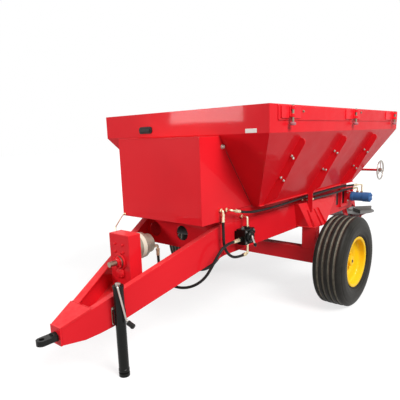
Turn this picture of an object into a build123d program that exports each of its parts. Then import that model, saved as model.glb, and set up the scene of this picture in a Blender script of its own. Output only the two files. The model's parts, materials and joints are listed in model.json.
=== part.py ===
"""Trailed fertilizer spreader: hopper, conveyor, drawbar with drive post, two
wheels on one axle, rear gate and two spinner discs. Millimetres.
X points forward to the tow eye, Y to the left, Z up, Z = 0 is the ground.
Lengths along X below are measured from the axle and moved by AXLE_X."""

import math
import os

from build123d import *

os.makedirs("parts", exist_ok=True)

# wheels and axle
WHEEL_OD = 760.0
TYRE_W = 264.0
RIM_R = 197.0
TRACK = 1616.0
AXLE_W = 100.0
AXLE_H = 130.0
AXLE_Z = 318.0
AXLE_WALL = 10.0
SPINDLE_R = 25.0
RUN_FIT = 0.05
AXLE_HALF = TRACK / 2 - 88
POST_OUT = AXLE_HALF - 155
POST_W = 122.0

# hopper
HOP_FRONT = 1165.0
HOP_REAR = -1335.0
HOP_HALF = 783.0
HOP_TOP = 1630.0
BAND_Z = 1457.0
BASE_Z = 930.0
SLOPE_SIDE = 0.62
SLOPE_FRONT = 0.735
SLOPE_REAR = 0.54
WALL_T = 4.0
LIP_W = 35.0

# front box
BOX_FRONT = 1362.0
BOX_HALF = 398.0
BOX_Z = 872.0
BOX_TOP = 1448.0
BOX_T = 4.0

# rails and drawbar
RAIL_Y = 395.0
RAIL_Z = 620.0
RAIL_TOP = 848.0
RAIL_REAR = -1225.0
PLATE_T = 8.0
FLANGE_W = 55.0
KINK_X = 1133.0
NOSE_X = 2234.0
NOSE_HALF = 51.0
NOSE_TOP = 387.0
NOSE_BOTTOM = 285.0
BEAM_BOTTOM = 205.0
BEAM_T = 12.0
GUSSET_L = 175.0

# tow tongue
EYE_REACH = 100.0
EYE_X = NOSE_X + EYE_REACH
EYE_W = 65.0
EYE_T = 32.0
EYE_BORE_R = 16.0
EYE_Z = 335.0
CAP_T = 12.0

# drive post, input shaft and pump
POST_FRONT = 1737.0
POST_DEPTH = 102.0
POST_REAR = POST_FRONT - POST_DEPTH
POST_HALF = 97.5
POST_TOP = 847.0
POST_WALL = 14.0
PTO_Z = 662.0
PTO_R = 17.5
PTO_END = 1828.0
FLANGE_L = 22.0
PUMP_Z = 735.0

# jack
JACK_X = 1919.0
JACK_R = 32.5
JACK_TOP = 595.0
LEG_R = 27.0

# conveyor
SILL_T = 6.0
BED_T = 4.0
ROLL_R = 88.0
ROLL_Z = RAIL_TOP + SILL_T + BED_T - ROLL_R
DRIVE_X = -1040.0
IDLER_X = 950.0
BELT_T = 8.0
BELT_HALF = 320.0
BAR_H = 12.0
BAR_PITCH = 160.0
SHAFT_R = 20.0
MOTOR_Y = 460.0
MOTOR_END = 660.0
MOTOR_R = 50.0

# spinner
DISC_X = -1500.0
DISC_Y = 285.0
DISC_R = 255.0
DISC_Z = 530.0
DISC_T = 4.0
DECK_Z = 480.0
DECK_T = 5.0
VANE_H = 40.0

# gate and its adjuster
GATE_HALF = 330.0
GATE_L = 210.0
GATE_LOW = 892.0
OUT_HALF = 300.0
OUT_H = 130.0
GATE_T = 6.0
GATE_GAP = 2.0
GATE_RUN = 0.3
RACK_T = 18.0
RACK_L = 380.0
ADJ_X = -1200.0
ADJ_Z = 1040.0
WHEEL_R = 103.0
ADJ_END = 701.0

# hoses
HOSE_D = 20.0
CRIMP_R = 13.0

REACH_FRONT = EYE_X + EYE_W / 2
REACH_REAR = DISC_X - DISC_R
AXLE_X = -(REACH_FRONT + REACH_REAR) / 2
AXLE_ZC = WHEEL_OD / 2


def px(x):
    """Place along X in the part's frame, from a distance to the axle."""
    return x + AXLE_X


def prism(plane, points, amount, mode=Mode.ADD):
    """Straight prism on a polygon drawn in the plane."""
    with BuildSketch(plane) as flat:
        with BuildLine():
            Polyline(*points, close=True)
        make_face()
    extrude(flat.sketch, amount=amount, mode=mode)


def side_prism(points, y0, y1, mode=Mode.ADD):
    """Polygon of (distance to axle, height) between two Y places."""
    plane = Plane(origin=(AXLE_X, y0, 0), x_dir=(1, 0, 0), z_dir=(0, -1, 0))
    prism(plane, points, y0 - y1, mode)


def cross_prism(points, x0, x1, mode=Mode.ADD):
    """Polygon of (Y, Z) between two distances to the axle."""
    plane = Plane(origin=(px(x0), 0, 0), x_dir=(0, 1, 0), z_dir=(1, 0, 0))
    prism(plane, points, x1 - x0, mode)


def flat_prism(points, z0, z1, mode=Mode.ADD):
    """Polygon of (distance to axle, Y) between two heights."""
    plane = Plane(origin=(AXLE_X, 0, z0))
    prism(plane, points, z1 - z0, mode)


def block(x, y, z, mode=Mode.ADD):
    """Box from three (low, high) pairs, X from the axle."""
    with Locations((px((x[0] + x[1]) / 2), (y[0] + y[1]) / 2, (z[0] + z[1]) / 2)):
        Box(abs(x[1] - x[0]), abs(y[1] - y[0]), abs(z[1] - z[0]), mode=mode)


def rod(start, end, radius, mode=Mode.ADD):
    """Round bar between two points, X from the axle."""
    a = Vector(px(start[0]), start[1], start[2])
    b = Vector(px(end[0]), end[1], end[2])
    with BuildSketch(Plane(origin=a, z_dir=b - a)) as flat:
        Circle(radius)
    extrude(flat.sketch, amount=(b - a).length, mode=mode)


def turned(points, origin, axis, side):
    """Turned body from (distance along axis, radius) points."""
    plane = Plane(origin=origin, x_dir=axis, z_dir=side)
    with BuildSketch(plane) as flat:
        with BuildLine():
            Polyline(*points, close=True)
        make_face()
    revolve(flat.sketch, axis=Axis(origin, axis))


def hop_y(z):
    return HOP_HALF - SLOPE_SIDE * max(0.0, BAND_Z - z)


def hop_front(z):
    return HOP_FRONT - SLOPE_FRONT * max(0.0, BAND_Z - z)


def hop_rear(z):
    return HOP_REAR + SLOPE_REAR * max(0.0, BAND_Z - z)


def beam_y(x):
    """Outer face of a drawbar beam at a distance ahead of the axle."""
    return NOSE_HALF + (NOSE_X - x) / (NOSE_X - KINK_X) * (RAIL_Y - NOSE_HALF)


def beam_low(x):
    return BEAM_BOTTOM + (NOSE_X - x) / (NOSE_X - KINK_X) * (RAIL_Z - BEAM_BOTTOM)


IN_SIDE = WALL_T * math.hypot(1, SLOPE_SIDE)
IN_FRONT = WALL_T * math.hypot(1, SLOPE_FRONT)
IN_REAR = WALL_T * math.hypot(1, SLOPE_REAR)


def wall_strip(which, z, depth_side, depth_front, depth_rear):
    """Level section of one hopper wall, mitred at the corners."""
    y, f, r = hop_y(z), hop_front(z), hop_rear(z)
    yi, fi, ri = y - depth_side, f - depth_front, r + depth_rear
    strips = {
        "left": [(f, y), (r, y), (ri, yi), (fi, yi)],
        "right": [(f, -y), (fi, -yi), (ri, -yi), (r, -y)],
        "front": [(f, y), (fi, yi), (fi, -yi), (f, -y)],
        "rear": [(r, y), (r, -y), (ri, -yi), (ri, yi)],
    }
    return strips[which]


def level_sketch(points, z):
    with BuildSketch(Plane(origin=(AXLE_X, 0, z))) as flat:
        with BuildLine():
            Polyline(*points, close=True)
        make_face()
    return flat.sketch


def hopper_wall(which):
    """Sloping panel, upright band and the lip that turns in at the top."""
    depths = (IN_SIDE, IN_FRONT, IN_REAR)
    low = level_sketch(wall_strip(which, BASE_Z, *depths), BASE_Z)
    high = level_sketch(wall_strip(which, BAND_Z, *depths), BAND_Z)
    loft([low.face(), high.face()], ruled=True)
    extrude(high, amount=HOP_TOP - BAND_Z)
    lip_depths = tuple(d * LIP_W / WALL_T for d in depths)
    lip = level_sketch(wall_strip(which, HOP_TOP, *lip_depths), HOP_TOP - WALL_T)
    extrude(lip, amount=WALL_T)


SIDES = [("left", 1), ("right", -1)]

# ---------------------------------------------------------------- hopper
for side, s in SIDES:
    with BuildPart() as hopper_side:
        hopper_wall(side)
    hopper_side.part.label = f"hopper_side_{side}"
    export_step(hopper_side.part, f"parts/hopper_side_{side}.step")

with BuildPart() as hopper_front:
    hopper_wall("front")
hopper_front.part.label = "hopper_front"
export_step(hopper_front.part, "parts/hopper_front.step")

OUT_Z = BASE_Z + OUT_H
with BuildPart() as hopper_rear:
    hopper_wall("rear")
    block((HOP_REAR, 0), (-OUT_HALF, OUT_HALF), (BASE_Z - 1, OUT_Z), Mode.SUBTRACT)
hopper_rear.part.label = "hopper_rear"
export_step(hopper_rear.part, "parts/hopper_rear.step")

WALL_FOOT = hop_front(BASE_Z)
with BuildPart() as front_box:
    shell = [
        (BOX_FRONT, BOX_Z),
        (BOX_FRONT, BOX_TOP),
        (hop_front(BOX_TOP), BOX_TOP),
        (WALL_FOOT, BASE_Z),
        (KINK_X, BASE_Z),
        (KINK_X, BOX_Z),
    ]
    side_prism(shell, -BOX_HALF, BOX_HALF)
    hollow = [
        (BOX_FRONT - BOX_T, BOX_Z - 1),
        (BOX_FRONT - BOX_T, BOX_TOP - BOX_T),
        (hop_front(BOX_TOP - BOX_T) - 1, BOX_TOP - BOX_T),
        (WALL_FOOT - 1, BASE_Z),
        (WALL_FOOT - 1, BOX_Z - 1),
    ]
    side_prism(hollow, -BOX_HALF + BOX_T, BOX_HALF - BOX_T, Mode.SUBTRACT)
front_box.part.label = "front_box"
export_step(front_box.part, "parts/front_box.step")

# ---------------------------------------------------------------- chassis
WINDOWS = [(DRIVE_X - 120, DRIVE_X + 150), (DRIVE_X + 185, DRIVE_X + 245)]
WINDOW_Z = (ROLL_Z - 72, ROLL_Z + 65)
for side, s in SIDES:
    with BuildPart() as rail:
        web = [(RAIL_REAR, RAIL_Z), (KINK_X, RAIL_Z), (KINK_X, RAIL_TOP), (RAIL_REAR, RAIL_TOP)]
        side_prism(web, s * (RAIL_Y - PLATE_T), s * RAIL_Y)
        for z in (RAIL_Z, RAIL_TOP - PLATE_T):
            block((RAIL_REAR, KINK_X), (s * (RAIL_Y - FLANGE_W), s * RAIL_Y), (z, z + PLATE_T))
        for window in WINDOWS:
            block(window, (s * (RAIL_Y - PLATE_T - 1), s * (RAIL_Y + 1)), WINDOW_Z, Mode.SUBTRACT)
    rail.part.label = f"rail_{side}"
    export_step(rail.part, f"parts/rail_{side}.step")

LEDGE_LAP = 14.0
LEDGE_Y = hop_y(BASE_Z) + LEDGE_LAP
SILL_IN = RAIL_Y - FLANGE_W
for side, s in SIDES:
    with BuildPart() as sill:
        back = hop_rear(BASE_Z)
        block((back, KINK_X - PLATE_T), (s * (RAIL_Y - PLATE_T), s * RAIL_Y), (RAIL_TOP, BASE_Z))
        block((back, KINK_X - PLATE_T), (s * SILL_IN, s * RAIL_Y), (RAIL_TOP, RAIL_TOP + SILL_T))
        block((back, WALL_FOOT), (s * RAIL_Y, s * LEDGE_Y), (BASE_Z - SILL_T, BASE_Z))
        block((WALL_FOOT, KINK_X - PLATE_T), (s * RAIL_Y, s * BOX_HALF), (BASE_Z - SILL_T, BASE_Z))
    sill.part.label = f"sill_{side}"
    export_step(sill.part, f"parts/sill_{side}.step")

HOLE_R = 58.0
HOLE_Z = 735.0
HOLE_Y = 290.0
PLATE_TOP = BOX_Z + 3
with BuildPart() as front_plate:
    notch = SILL_IN
    wide = RAIL_Y - PLATE_T
    half = [
        (notch, RAIL_Z),
        (notch, RAIL_Z + PLATE_T),
        (wide, RAIL_Z + PLATE_T),
        (wide, RAIL_TOP - PLATE_T),
        (notch, RAIL_TOP - PLATE_T),
        (notch, PLATE_TOP),
    ]
    outline = half + [(-y, z) for y, z in reversed(half)]
    cross_prism(outline, KINK_X - PLATE_T, KINK_X)
    for y in (-HOLE_Y, 0, HOLE_Y):
        rod((KINK_X - 20, y, HOLE_Z), (KINK_X + 5, y, HOLE_Z), HOLE_R, Mode.SUBTRACT)
front_plate.part.label = "front_plate"
export_step(front_plate.part, "parts/front_plate.step")

# drawbar beams: channels that converge and slope down to the nose
BEAM_DIR = Vector(KINK_X - NOSE_X, RAIL_Y - NOSE_HALF, 0)
BEAM_L = BEAM_DIR.length
LOW_RUN = (RAIL_Z - BEAM_BOTTOM) / BEAM_L
NOSE_CURVE = [(0.0, NOSE_BOTTOM), (135.0, NOSE_BOTTOM - 4), (225.0, NOSE_BOTTOM + 11)]
CURVE_END = 310.0
for side, s in SIDES:
    with BuildPart() as beam:
        along = Vector(BEAM_DIR.X, s * BEAM_DIR.Y, 0)
        plane = Plane(origin=(px(NOSE_X), s * NOSE_HALF, 0), x_dir=along, z_dir=along.cross(Vector(0, 0, 1)))
        lower = NOSE_CURVE + [(CURVE_END, BEAM_BOTTOM + LOW_RUN * CURVE_END), (BEAM_L, RAIL_Z)]
        upper = [(BEAM_L, RAIL_TOP), (0, NOSE_TOP)]
        bottom = lower + [(d, z + BEAM_T) for d, z in reversed(lower)]
        top = upper + [(d, z - BEAM_T) for d, z in reversed(upper)]
        prism(plane, lower + upper, -s * BEAM_T)
        prism(plane, top, -s * FLANGE_W)
        prism(plane, bottom, -s * FLANGE_W)
        heights = (BEAM_BOTTOM - 50, RAIL_TOP + 50)
        block((KINK_X - 200, KINK_X), (0, s * (RAIL_Y + 200)), heights, Mode.SUBTRACT)
        block((NOSE_X, NOSE_X + 100), (-200, 200), heights, Mode.SUBTRACT)
        block((KINK_X, NOSE_X + 100), (0, -s * 200), heights, Mode.SUBTRACT)
    beam.part.label = f"beam_{side}"
    export_step(beam.part, f"parts/beam_{side}.step")

TOP_SLOPE = (RAIL_TOP - NOSE_TOP) / (NOSE_X - KINK_X)
LOW_SLOPE = (RAIL_Z - BEAM_BOTTOM) / (NOSE_X - KINK_X)
with BuildPart() as nose:
    tilt = Vector(-1, 0, TOP_SLOPE)
    plane = Plane(origin=(px(NOSE_X), 0, NOSE_TOP), x_dir=tilt, z_dir=(TOP_SLOPE, 0, 1))
    length = GUSSET_L * math.hypot(1, TOP_SLOPE)
    back = beam_y(NOSE_X - GUSSET_L)
    prism(plane, [(0, -NOSE_HALF), (length, -back), (length, back), (0, NOSE_HALF)], CAP_T)
    block((NOSE_X, NOSE_X + CAP_T), (-NOSE_HALF, NOSE_HALF), (NOSE_BOTTOM, NOSE_TOP + CAP_T))
nose.part.label = "nose"
export_step(nose.part, "parts/nose.step")

COLLAR_L = 26.0
with BuildPart() as tow_eye:
    root = NOSE_X + CAP_T
    rod((root, 0, EYE_Z), (root + COLLAR_L, 0, EYE_Z), EYE_W / 2 - 2)
    block((root, EYE_X), (-EYE_W / 2, EYE_W / 2), (EYE_Z - EYE_T / 2, EYE_Z + EYE_T / 2))
    rod((EYE_X, 0, EYE_Z - EYE_T / 2), (EYE_X, 0, EYE_Z + EYE_T / 2), EYE_W / 2)
    rod((EYE_X, 0, EYE_Z - EYE_T), (EYE_X, 0, EYE_Z + EYE_T), EYE_BORE_R, Mode.SUBTRACT)
tow_eye.part.label = "tow_eye"
export_step(tow_eye.part, "parts/tow_eye.step")

# plate between the beams, on their lower flanges
TIE_FRONT = 1875.0
TIE_REAR = 1560.0
TIE_GAP = 1.0
TIE_HOLE_X = 1810.0
TIE_HOLE_R = 18.0
WEB_IN = BEAM_T / math.cos(math.atan2(BEAM_DIR.Y, -BEAM_DIR.X))


def tie_top(x):
    return beam_low(x) + BEAM_T + PLATE_T * math.hypot(1, LOW_SLOPE)


with BuildPart() as tie_plate:
    tilt = Vector(-1, 0, LOW_SLOPE)
    base = beam_low(TIE_FRONT) + BEAM_T
    plane = Plane(origin=(px(TIE_FRONT), 0, base), x_dir=tilt, z_dir=(LOW_SLOPE, 0, 1))
    length = (TIE_FRONT - TIE_REAR) * math.hypot(1, LOW_SLOPE)
    yf = beam_y(TIE_FRONT) - WEB_IN - TIE_GAP
    yr = beam_y(TIE_REAR) - WEB_IN - TIE_GAP
    prism(plane, [(0, -yf), (length, -yr), (length, yr), (0, yf)], PLATE_T)
    rod((TIE_HOLE_X, 0, 300), (TIE_HOLE_X, 0, 500), TIE_HOLE_R, Mode.SUBTRACT)
tie_plate.part.label = "tie_plate"
export_step(tie_plate.part, "parts/tie_plate.step")

with BuildPart() as drive_post:
    outline = [
        (POST_REAR, tie_top(POST_REAR)),
        (POST_FRONT, tie_top(POST_FRONT)),
        (POST_FRONT, POST_TOP),
        (POST_REAR, POST_TOP),
    ]
    side_prism(outline, -POST_HALF, POST_HALF)
    w = POST_WALL
    inner = [
        (POST_REAR + w, tie_top(POST_REAR) + w),
        (POST_FRONT - w, tie_top(POST_FRONT) + w),
        (POST_FRONT - w, POST_TOP - w),
        (POST_REAR + w, POST_TOP - w),
    ]
    side_prism(inner, -POST_HALF + w, POST_HALF - w, Mode.SUBTRACT)
drive_post.part.label = "drive_post"
export_step(drive_post.part, "parts/drive_post.step")

with BuildPart() as pto_shaft:
    rod((POST_FRONT, 0, PTO_Z), (POST_FRONT + FLANGE_L, 0, PTO_Z), 42)
    rod((POST_FRONT + FLANGE_L, 0, PTO_Z), (PTO_END, 0, PTO_Z), PTO_R)
pto_shaft.part.label = "pto_shaft"
export_step(pto_shaft.part, "parts/pto_shaft.step")

PUMP_PROFILE = [(0, 0), (0, 96), (26, 96), (30, 88), (92, 88), (98, 80), (98, 66), (155, 66), (155, 0)]
PUMP_REAR = POST_REAR - PUMP_PROFILE[-1][0]
with BuildPart() as pump:
    turned(PUMP_PROFILE, (px(POST_REAR), 0, PUMP_Z), (-1, 0, 0), (0, -1, 0))
pump.part.label = "pump"
export_step(pump.part, "parts/pump.step")

# ---------------------------------------------------------------- jack
NORMAL = Vector(BEAM_DIR.Y, -BEAM_DIR.X, 0).normalized()
JACK_OFF = JACK_R + 11.0
JACK_Y = beam_y(JACK_X) + JACK_OFF / NORMAL.Y
TUBE_LOW = 30.0
with BuildPart() as jack_tube:
    rod((JACK_X, JACK_Y, TUBE_LOW), (JACK_X, JACK_Y, JACK_TOP), JACK_R)
    along = Vector(-BEAM_DIR.X, -BEAM_DIR.Y, 0).normalized()
    plane = Plane(origin=(px(JACK_X), JACK_Y, 345), x_dir=along, z_dir=(0, 0, 1))
    prism(plane, [(-38, -JACK_OFF), (38, -JACK_OFF), (38, 0), (-38, 0)], 90)
    rod((JACK_X, JACK_Y, TUBE_LOW - 1), (JACK_X, JACK_Y, JACK_TOP - 12), LEG_R + 0.3, Mode.SUBTRACT)
jack_tube.part.label = "jack_tube"
export_step(jack_tube.part, "parts/jack_tube.step")

with BuildPart() as jack_leg:
    rod((JACK_X, JACK_Y, 22), (JACK_X, JACK_Y, JACK_TOP - 20), LEG_R)
    rod((JACK_X, JACK_Y, 0), (JACK_X, JACK_Y, 22), JACK_R + 2)
jack_leg.part.label = "jack_leg"
export_step(jack_leg.part, "parts/jack_leg.step")

CRANK_TOP = (JACK_X + 39, JACK_Y + 46, JACK_TOP + 7)
CRANK_LOW = (JACK_X - 8, JACK_Y + 47, 372.0)
GRIP_END = (JACK_X - 12, JACK_Y + 107, 350.0)
with BuildPart() as jack_crank:
    rod((JACK_X, JACK_Y, JACK_TOP), (JACK_X, JACK_Y, JACK_TOP + 14), 14)
    rod((JACK_X, JACK_Y, JACK_TOP + 7), CRANK_TOP, 6)
    with Locations((px(CRANK_TOP[0]), CRANK_TOP[1], CRANK_TOP[2])):
        Sphere(6.2)
    rod(CRANK_TOP, CRANK_LOW, 6)
jack_crank.part.label = "jack_crank"
export_step(jack_crank.part, "parts/jack_crank.step")

with BuildPart() as jack_grip:
    rod(CRANK_LOW, GRIP_END, 17)
    rod(CRANK_TOP, CRANK_LOW, 6, Mode.SUBTRACT)
jack_grip.part.label = "jack_grip"
export_step(jack_grip.part, "parts/jack_grip.step")

# ---------------------------------------------------------------- axle and wheels
SADDLE_Z = 640.0
SADDLE_TOP = RAIL_TOP - 2
AXLE_TOP = AXLE_Z + AXLE_H
with BuildPart() as axle:
    w = AXLE_WALL
    block((-AXLE_W / 2, AXLE_W / 2), (-AXLE_HALF, AXLE_HALF), (AXLE_Z, AXLE_TOP))
    for s in (1, -1):
        block((-40, AXLE_W / 2), (s * (POST_OUT - POST_W), s * POST_OUT), (AXLE_TOP - 1, SADDLE_Z))
        block(
            (-32, AXLE_W / 2 - 8),
            (s * (POST_OUT - POST_W + 8), s * (POST_OUT - 8)),
            (AXLE_TOP - w - 1, SADDLE_Z - 8),
            Mode.SUBTRACT,
        )
    block(
        (-AXLE_W / 2 + w, AXLE_W / 2 - w),
        (-AXLE_HALF + w, AXLE_HALF - w),
        (AXLE_Z + w, AXLE_TOP - w),
        Mode.SUBTRACT,
    )
    for s in (1, -1):
        rod((0, s * AXLE_HALF, AXLE_ZC), (0, s * (AXLE_HALF + 10), AXLE_ZC), SPINDLE_R + 8)
        rod((0, s * AXLE_HALF, AXLE_ZC), (0, s * (TRACK / 2 - 2), AXLE_ZC), SPINDLE_R)
axle.part.label = "axle"
export_step(axle.part, "parts/axle.step")

# saddles: folded plates from the rails out to the axle posts
TIP_Y = POST_OUT + 11
SADDLE_LOW = [(66, RAIL_Y), (66, 520), (-50, TIP_Y), (-140, TIP_Y), (-140, RAIL_Y)]
SADDLE_HIGH = [(112, RAIL_Y), (112, 436), (-50, 472), (-780, 408), (-780, RAIL_Y)]
INNER_LOW = [(57, RAIL_Y), (57, 512), (-52, TIP_Y - 10), (-130, TIP_Y - 10), (-130, RAIL_Y)]
INNER_HIGH = [(98, RAIL_Y), (98, 427), (-52, 462), (-740, 401), (-740, RAIL_Y)]


def mirrored(points, s):
    return [(a, s * b) for a, b in points]


def saddle_shell(s):
    low = level_sketch(mirrored(SADDLE_LOW, s), SADDLE_Z)
    high = level_sketch(mirrored(SADDLE_HIGH, s), SADDLE_TOP)
    loft([low.face(), high.face()], ruled=True)


for side, s in SIDES:
    with BuildPart() as saddle:
        saddle_shell(s)
        low = level_sketch(mirrored(INNER_LOW, s), SADDLE_Z + 8)
        high = level_sketch(mirrored(INNER_HIGH, s), SADDLE_TOP)
        loft([low.face(), high.face()], ruled=True, mode=Mode.SUBTRACT)
    saddle.part.label = f"saddle_{side}"
    export_step(saddle.part, f"parts/saddle_{side}.step")

# ribs against the sloping sides; the middle one reaches down to the saddle
RIB_X = (720.0, 0.0, -720.0)
RIB_T = 8.0
RIB_TOP = BAND_Z - 49.0
RIB_EDGE = [(1.0, RIB_TOP + 10), (30.0, RIB_TOP + 4), (50.0, RIB_TOP - 14), (60.0, RIB_TOP - 34)]
RIB_DEPTH = [(64.0, BASE_Z + 310), (72.0, BASE_Z + 180), (88.0, BASE_Z + 60)]
STRAP_W = 42.0
STRAP_Z = RAIL_TOP - 78.0
STRAP = [
    (LEDGE_Y + STRAP_W, BASE_Z),
    (LEDGE_Y + STRAP_W, STRAP_Z),
    (LEDGE_Y, STRAP_Z),
    (LEDGE_Y, BASE_Z),
]
for side, s in SIDES:
    with BuildPart() as ribs:
        outline = [(hop_y(BASE_Z), BASE_Z), (hop_y(RIB_TOP), RIB_TOP)]
        outline += [(hop_y(z) + d, z) for d, z in RIB_EDGE + RIB_DEPTH]
        outline += [(LEDGE_Y, BASE_Z)]
        for x in RIB_X:
            cross_prism([(s * y, z) for y, z in outline], x - RIB_T / 2, x + RIB_T / 2)
        strap = [(hop_y(BASE_Z + 60) + 60, BASE_Z + 60)] + STRAP
        cross_prism([(s * y, z) for y, z in strap], -RIB_T / 2, RIB_T / 2)
        with BuildPart(mode=Mode.PRIVATE) as seat:
            saddle_shell(s)
        add(seat.part, mode=Mode.SUBTRACT)
    ribs.part.label = f"ribs_{side}"
    export_step(ribs.part, f"parts/ribs_{side}.step")

TYRE_PROFILE = [
    (105, 197),
    (105, 218),
    (130, 262),
    (132, 305),
    (118, 352),
    (96, 380),
    (-96, 380),
    (-118, 352),
    (-132, 305),
    (-130, 262),
    (-105, 218),
    (-105, 197),
    (-85, 197),
    (-84, 216),
    (-112, 262),
    (-114, 305),
    (-100, 340),
    (-84, 355),
    (84, 355),
    (100, 340),
    (114, 305),
    (112, 262),
    (84, 216),
    (85, 197),
]
RIM_PROFILE = [
    (112, 183),
    (112, 214),
    (105, 214),
    (105, 197),
    (-105, 197),
    (-105, 214),
    (-112, 214),
    (-112, 183),
    (-105, 183),
    (-98, 190),
    (20, 190),
    (20, 58),
    (28, 58),
    (60, 100),
    (60, 150),
    (34, 190),
    (98, 190),
    (105, 183),
]
HUB_PROFILE = [
    (-75, SPINDLE_R + RUN_FIT),
    (-75, 50),
    (8, 50),
    (8, 85),
    (20, 85),
    (20, 56),
    (28, 56),
    (28, 42),
    (70, 42),
    (74, 36),
    (74, 0),
    (0, 0),
    (0, SPINDLE_R + RUN_FIT),
]
for side, s in SIDES:
    centre = (AXLE_X, s * TRACK / 2, AXLE_ZC)
    for name, profile in (("tyre", TYRE_PROFILE), ("rim", RIM_PROFILE), ("hub", HUB_PROFILE)):
        with BuildPart() as wheel_piece:
            turned(profile, centre, (0, s, 0), (s, 0, 0))
        wheel_piece.part.label = f"{name}_{side}"
        export_step(wheel_piece.part, f"parts/{name}_{side}.step")

# ---------------------------------------------------------------- conveyor
BED_Z = RAIL_TOP + SILL_T
with BuildPart() as bed:
    wide = RAIL_Y - PLATE_T
    block((DRIVE_X + 60, IDLER_X - 60), (-wide, wide), (BED_Z, BED_Z + BED_T))
bed.part.label = "conveyor_bed"
export_step(bed.part, "parts/conveyor_bed.step")

with BuildPart() as belt:
    centre_x = (DRIVE_X + IDLER_X) / 2
    plane = Plane(origin=(px(centre_x), -BELT_HALF, ROLL_Z), x_dir=(1, 0, 0), z_dir=(0, -1, 0))
    with BuildSketch(plane) as loop:
        SlotCenterToCenter(IDLER_X - DRIVE_X, 2 * (ROLL_R + BELT_T))
        SlotCenterToCenter(IDLER_X - DRIVE_X, 2 * ROLL_R, mode=Mode.SUBTRACT)
    extrude(loop.sketch, amount=-2 * BELT_HALF)
    top = ROLL_Z + ROLL_R + BELT_T
    for i in range(int((IDLER_X - DRIVE_X) // BAR_PITCH) + 1):
        x = DRIVE_X + i * BAR_PITCH
        block((x - 10, x + 10), (-BELT_HALF + 10, BELT_HALF - 10), (top - 2, top + BAR_H))
belt.part.label = "conveyor_belt"
export_step(belt.part, "parts/conveyor_belt.step")

ROLLERS = [
    ("drive_roller", DRIVE_X, -(RAIL_Y + 30), MOTOR_Y),
    ("idler_roller", IDLER_X, -(RAIL_Y - PLATE_T), RAIL_Y - PLATE_T),
]
for name, x, y_low, y_high in ROLLERS:
    with BuildPart() as roller:
        rod((x, -BELT_HALF + 5, ROLL_Z), (x, BELT_HALF - 5, ROLL_Z), ROLL_R)
        rod((x, -BELT_HALF + 4, ROLL_Z), (x, BELT_HALF - 4, ROLL_Z), ROLL_R - 6, Mode.SUBTRACT)
        for y in (-BELT_HALF + 5, BELT_HALF - 15):
            rod((x, y, ROLL_Z), (x, y + 10, ROLL_Z), ROLL_R - 3)
        rod((x, y_low, ROLL_Z), (x, y_high, ROLL_Z), SHAFT_R)
    roller.part.label = name
    export_step(roller.part, f"parts/{name}.step")

# take-up frames on the rails, each with a bearing between its bars
FRAME_X = (DRIVE_X - 150, DRIVE_X + 180)
FRAME_Z = (ROLL_Z - 100, ROLL_Z + 92)
FRAME_BAR = 26.0
FRAME_OUT = RAIL_Y + 25
for side, s in SIDES:
    with BuildPart() as bearing:
        block(FRAME_X, (s * RAIL_Y, s * FRAME_OUT), FRAME_Z)
        inside_x = (FRAME_X[0] + FRAME_BAR, FRAME_X[1] - FRAME_BAR)
        inside_z = (FRAME_Z[0] + FRAME_BAR, FRAME_Z[1] - FRAME_BAR)
        block(inside_x, (s * (RAIL_Y - 1), s * (FRAME_OUT + 1)), inside_z, Mode.SUBTRACT)
        block((DRIVE_X - 45, DRIVE_X + 45), (s * (RAIL_Y + 2), s * (FRAME_OUT + 8)), inside_z)
        rod((DRIVE_X - 45, s * (RAIL_Y + 13), ROLL_Z), (FRAME_X[0] - 40, s * (RAIL_Y + 13), ROLL_Z), 8)
        rod((DRIVE_X, s * RAIL_Y, ROLL_Z), (DRIVE_X, s * MOTOR_Y, ROLL_Z), SHAFT_R, Mode.SUBTRACT)
    bearing.part.label = f"drive_bearing_{side}"
    export_step(bearing.part, f"parts/drive_bearing_{side}.step")

with BuildPart() as motor_adapter:
    rod((DRIVE_X, FRAME_OUT + 8, ROLL_Z), (DRIVE_X, MOTOR_Y, ROLL_Z), 44)
    rod((DRIVE_X, FRAME_OUT, ROLL_Z), (DRIVE_X, MOTOR_Y + 1, ROLL_Z), SHAFT_R, Mode.SUBTRACT)
motor_adapter.part.label = "motor_adapter"
export_step(motor_adapter.part, "parts/motor_adapter.step")

MOTOR_NECK = MOTOR_R - 4
MOTOR_PROFILE = [
    (0, 0),
    (0, MOTOR_R),
    (22, MOTOR_R),
    (26, MOTOR_NECK),
    (120, MOTOR_NECK),
    (124, MOTOR_R),
    (MOTOR_END - MOTOR_Y - 6, MOTOR_R),
    (MOTOR_END - MOTOR_Y, MOTOR_R - 8),
    (MOTOR_END - MOTOR_Y, 0),
]
with BuildPart() as belt_motor:
    turned(MOTOR_PROFILE, (px(DRIVE_X), MOTOR_Y, ROLL_Z), (0, 1, 0), (1, 0, 0))
belt_motor.part.label = "belt_motor"
export_step(belt_motor.part, "parts/belt_motor.step")

# ---------------------------------------------------------------- spinner
DECK_REAR = DISC_X - 170
DECK_FRONT = DISC_X + 170
DECK_HALF = DISC_Y + 135
with BuildPart() as spinner_frame:
    arm = [
        (DRIVE_X - 20, RAIL_Z),
        (DRIVE_X - 130, RAIL_Z),
        (DRIVE_X - 225, DECK_Z),
        (DECK_REAR, DECK_Z),
        (DECK_REAR, DECK_Z - 50),
        (DRIVE_X - 195, DECK_Z - 50),
    ]
    for s in (1, -1):
        side_prism(arm, s * 345, s * 355)
    block((DECK_REAR, DECK_FRONT), (-DECK_HALF, DECK_HALF), (DECK_Z, DECK_Z + DECK_T))
    for y in (-DISC_Y, DISC_Y):
        rod((DISC_X, y, DECK_Z - 1), (DISC_X, y, DECK_Z + 9), 24, Mode.SUBTRACT)
spinner_frame.part.label = "spinner_frame"
export_step(spinner_frame.part, "parts/spinner_frame.step")

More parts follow.
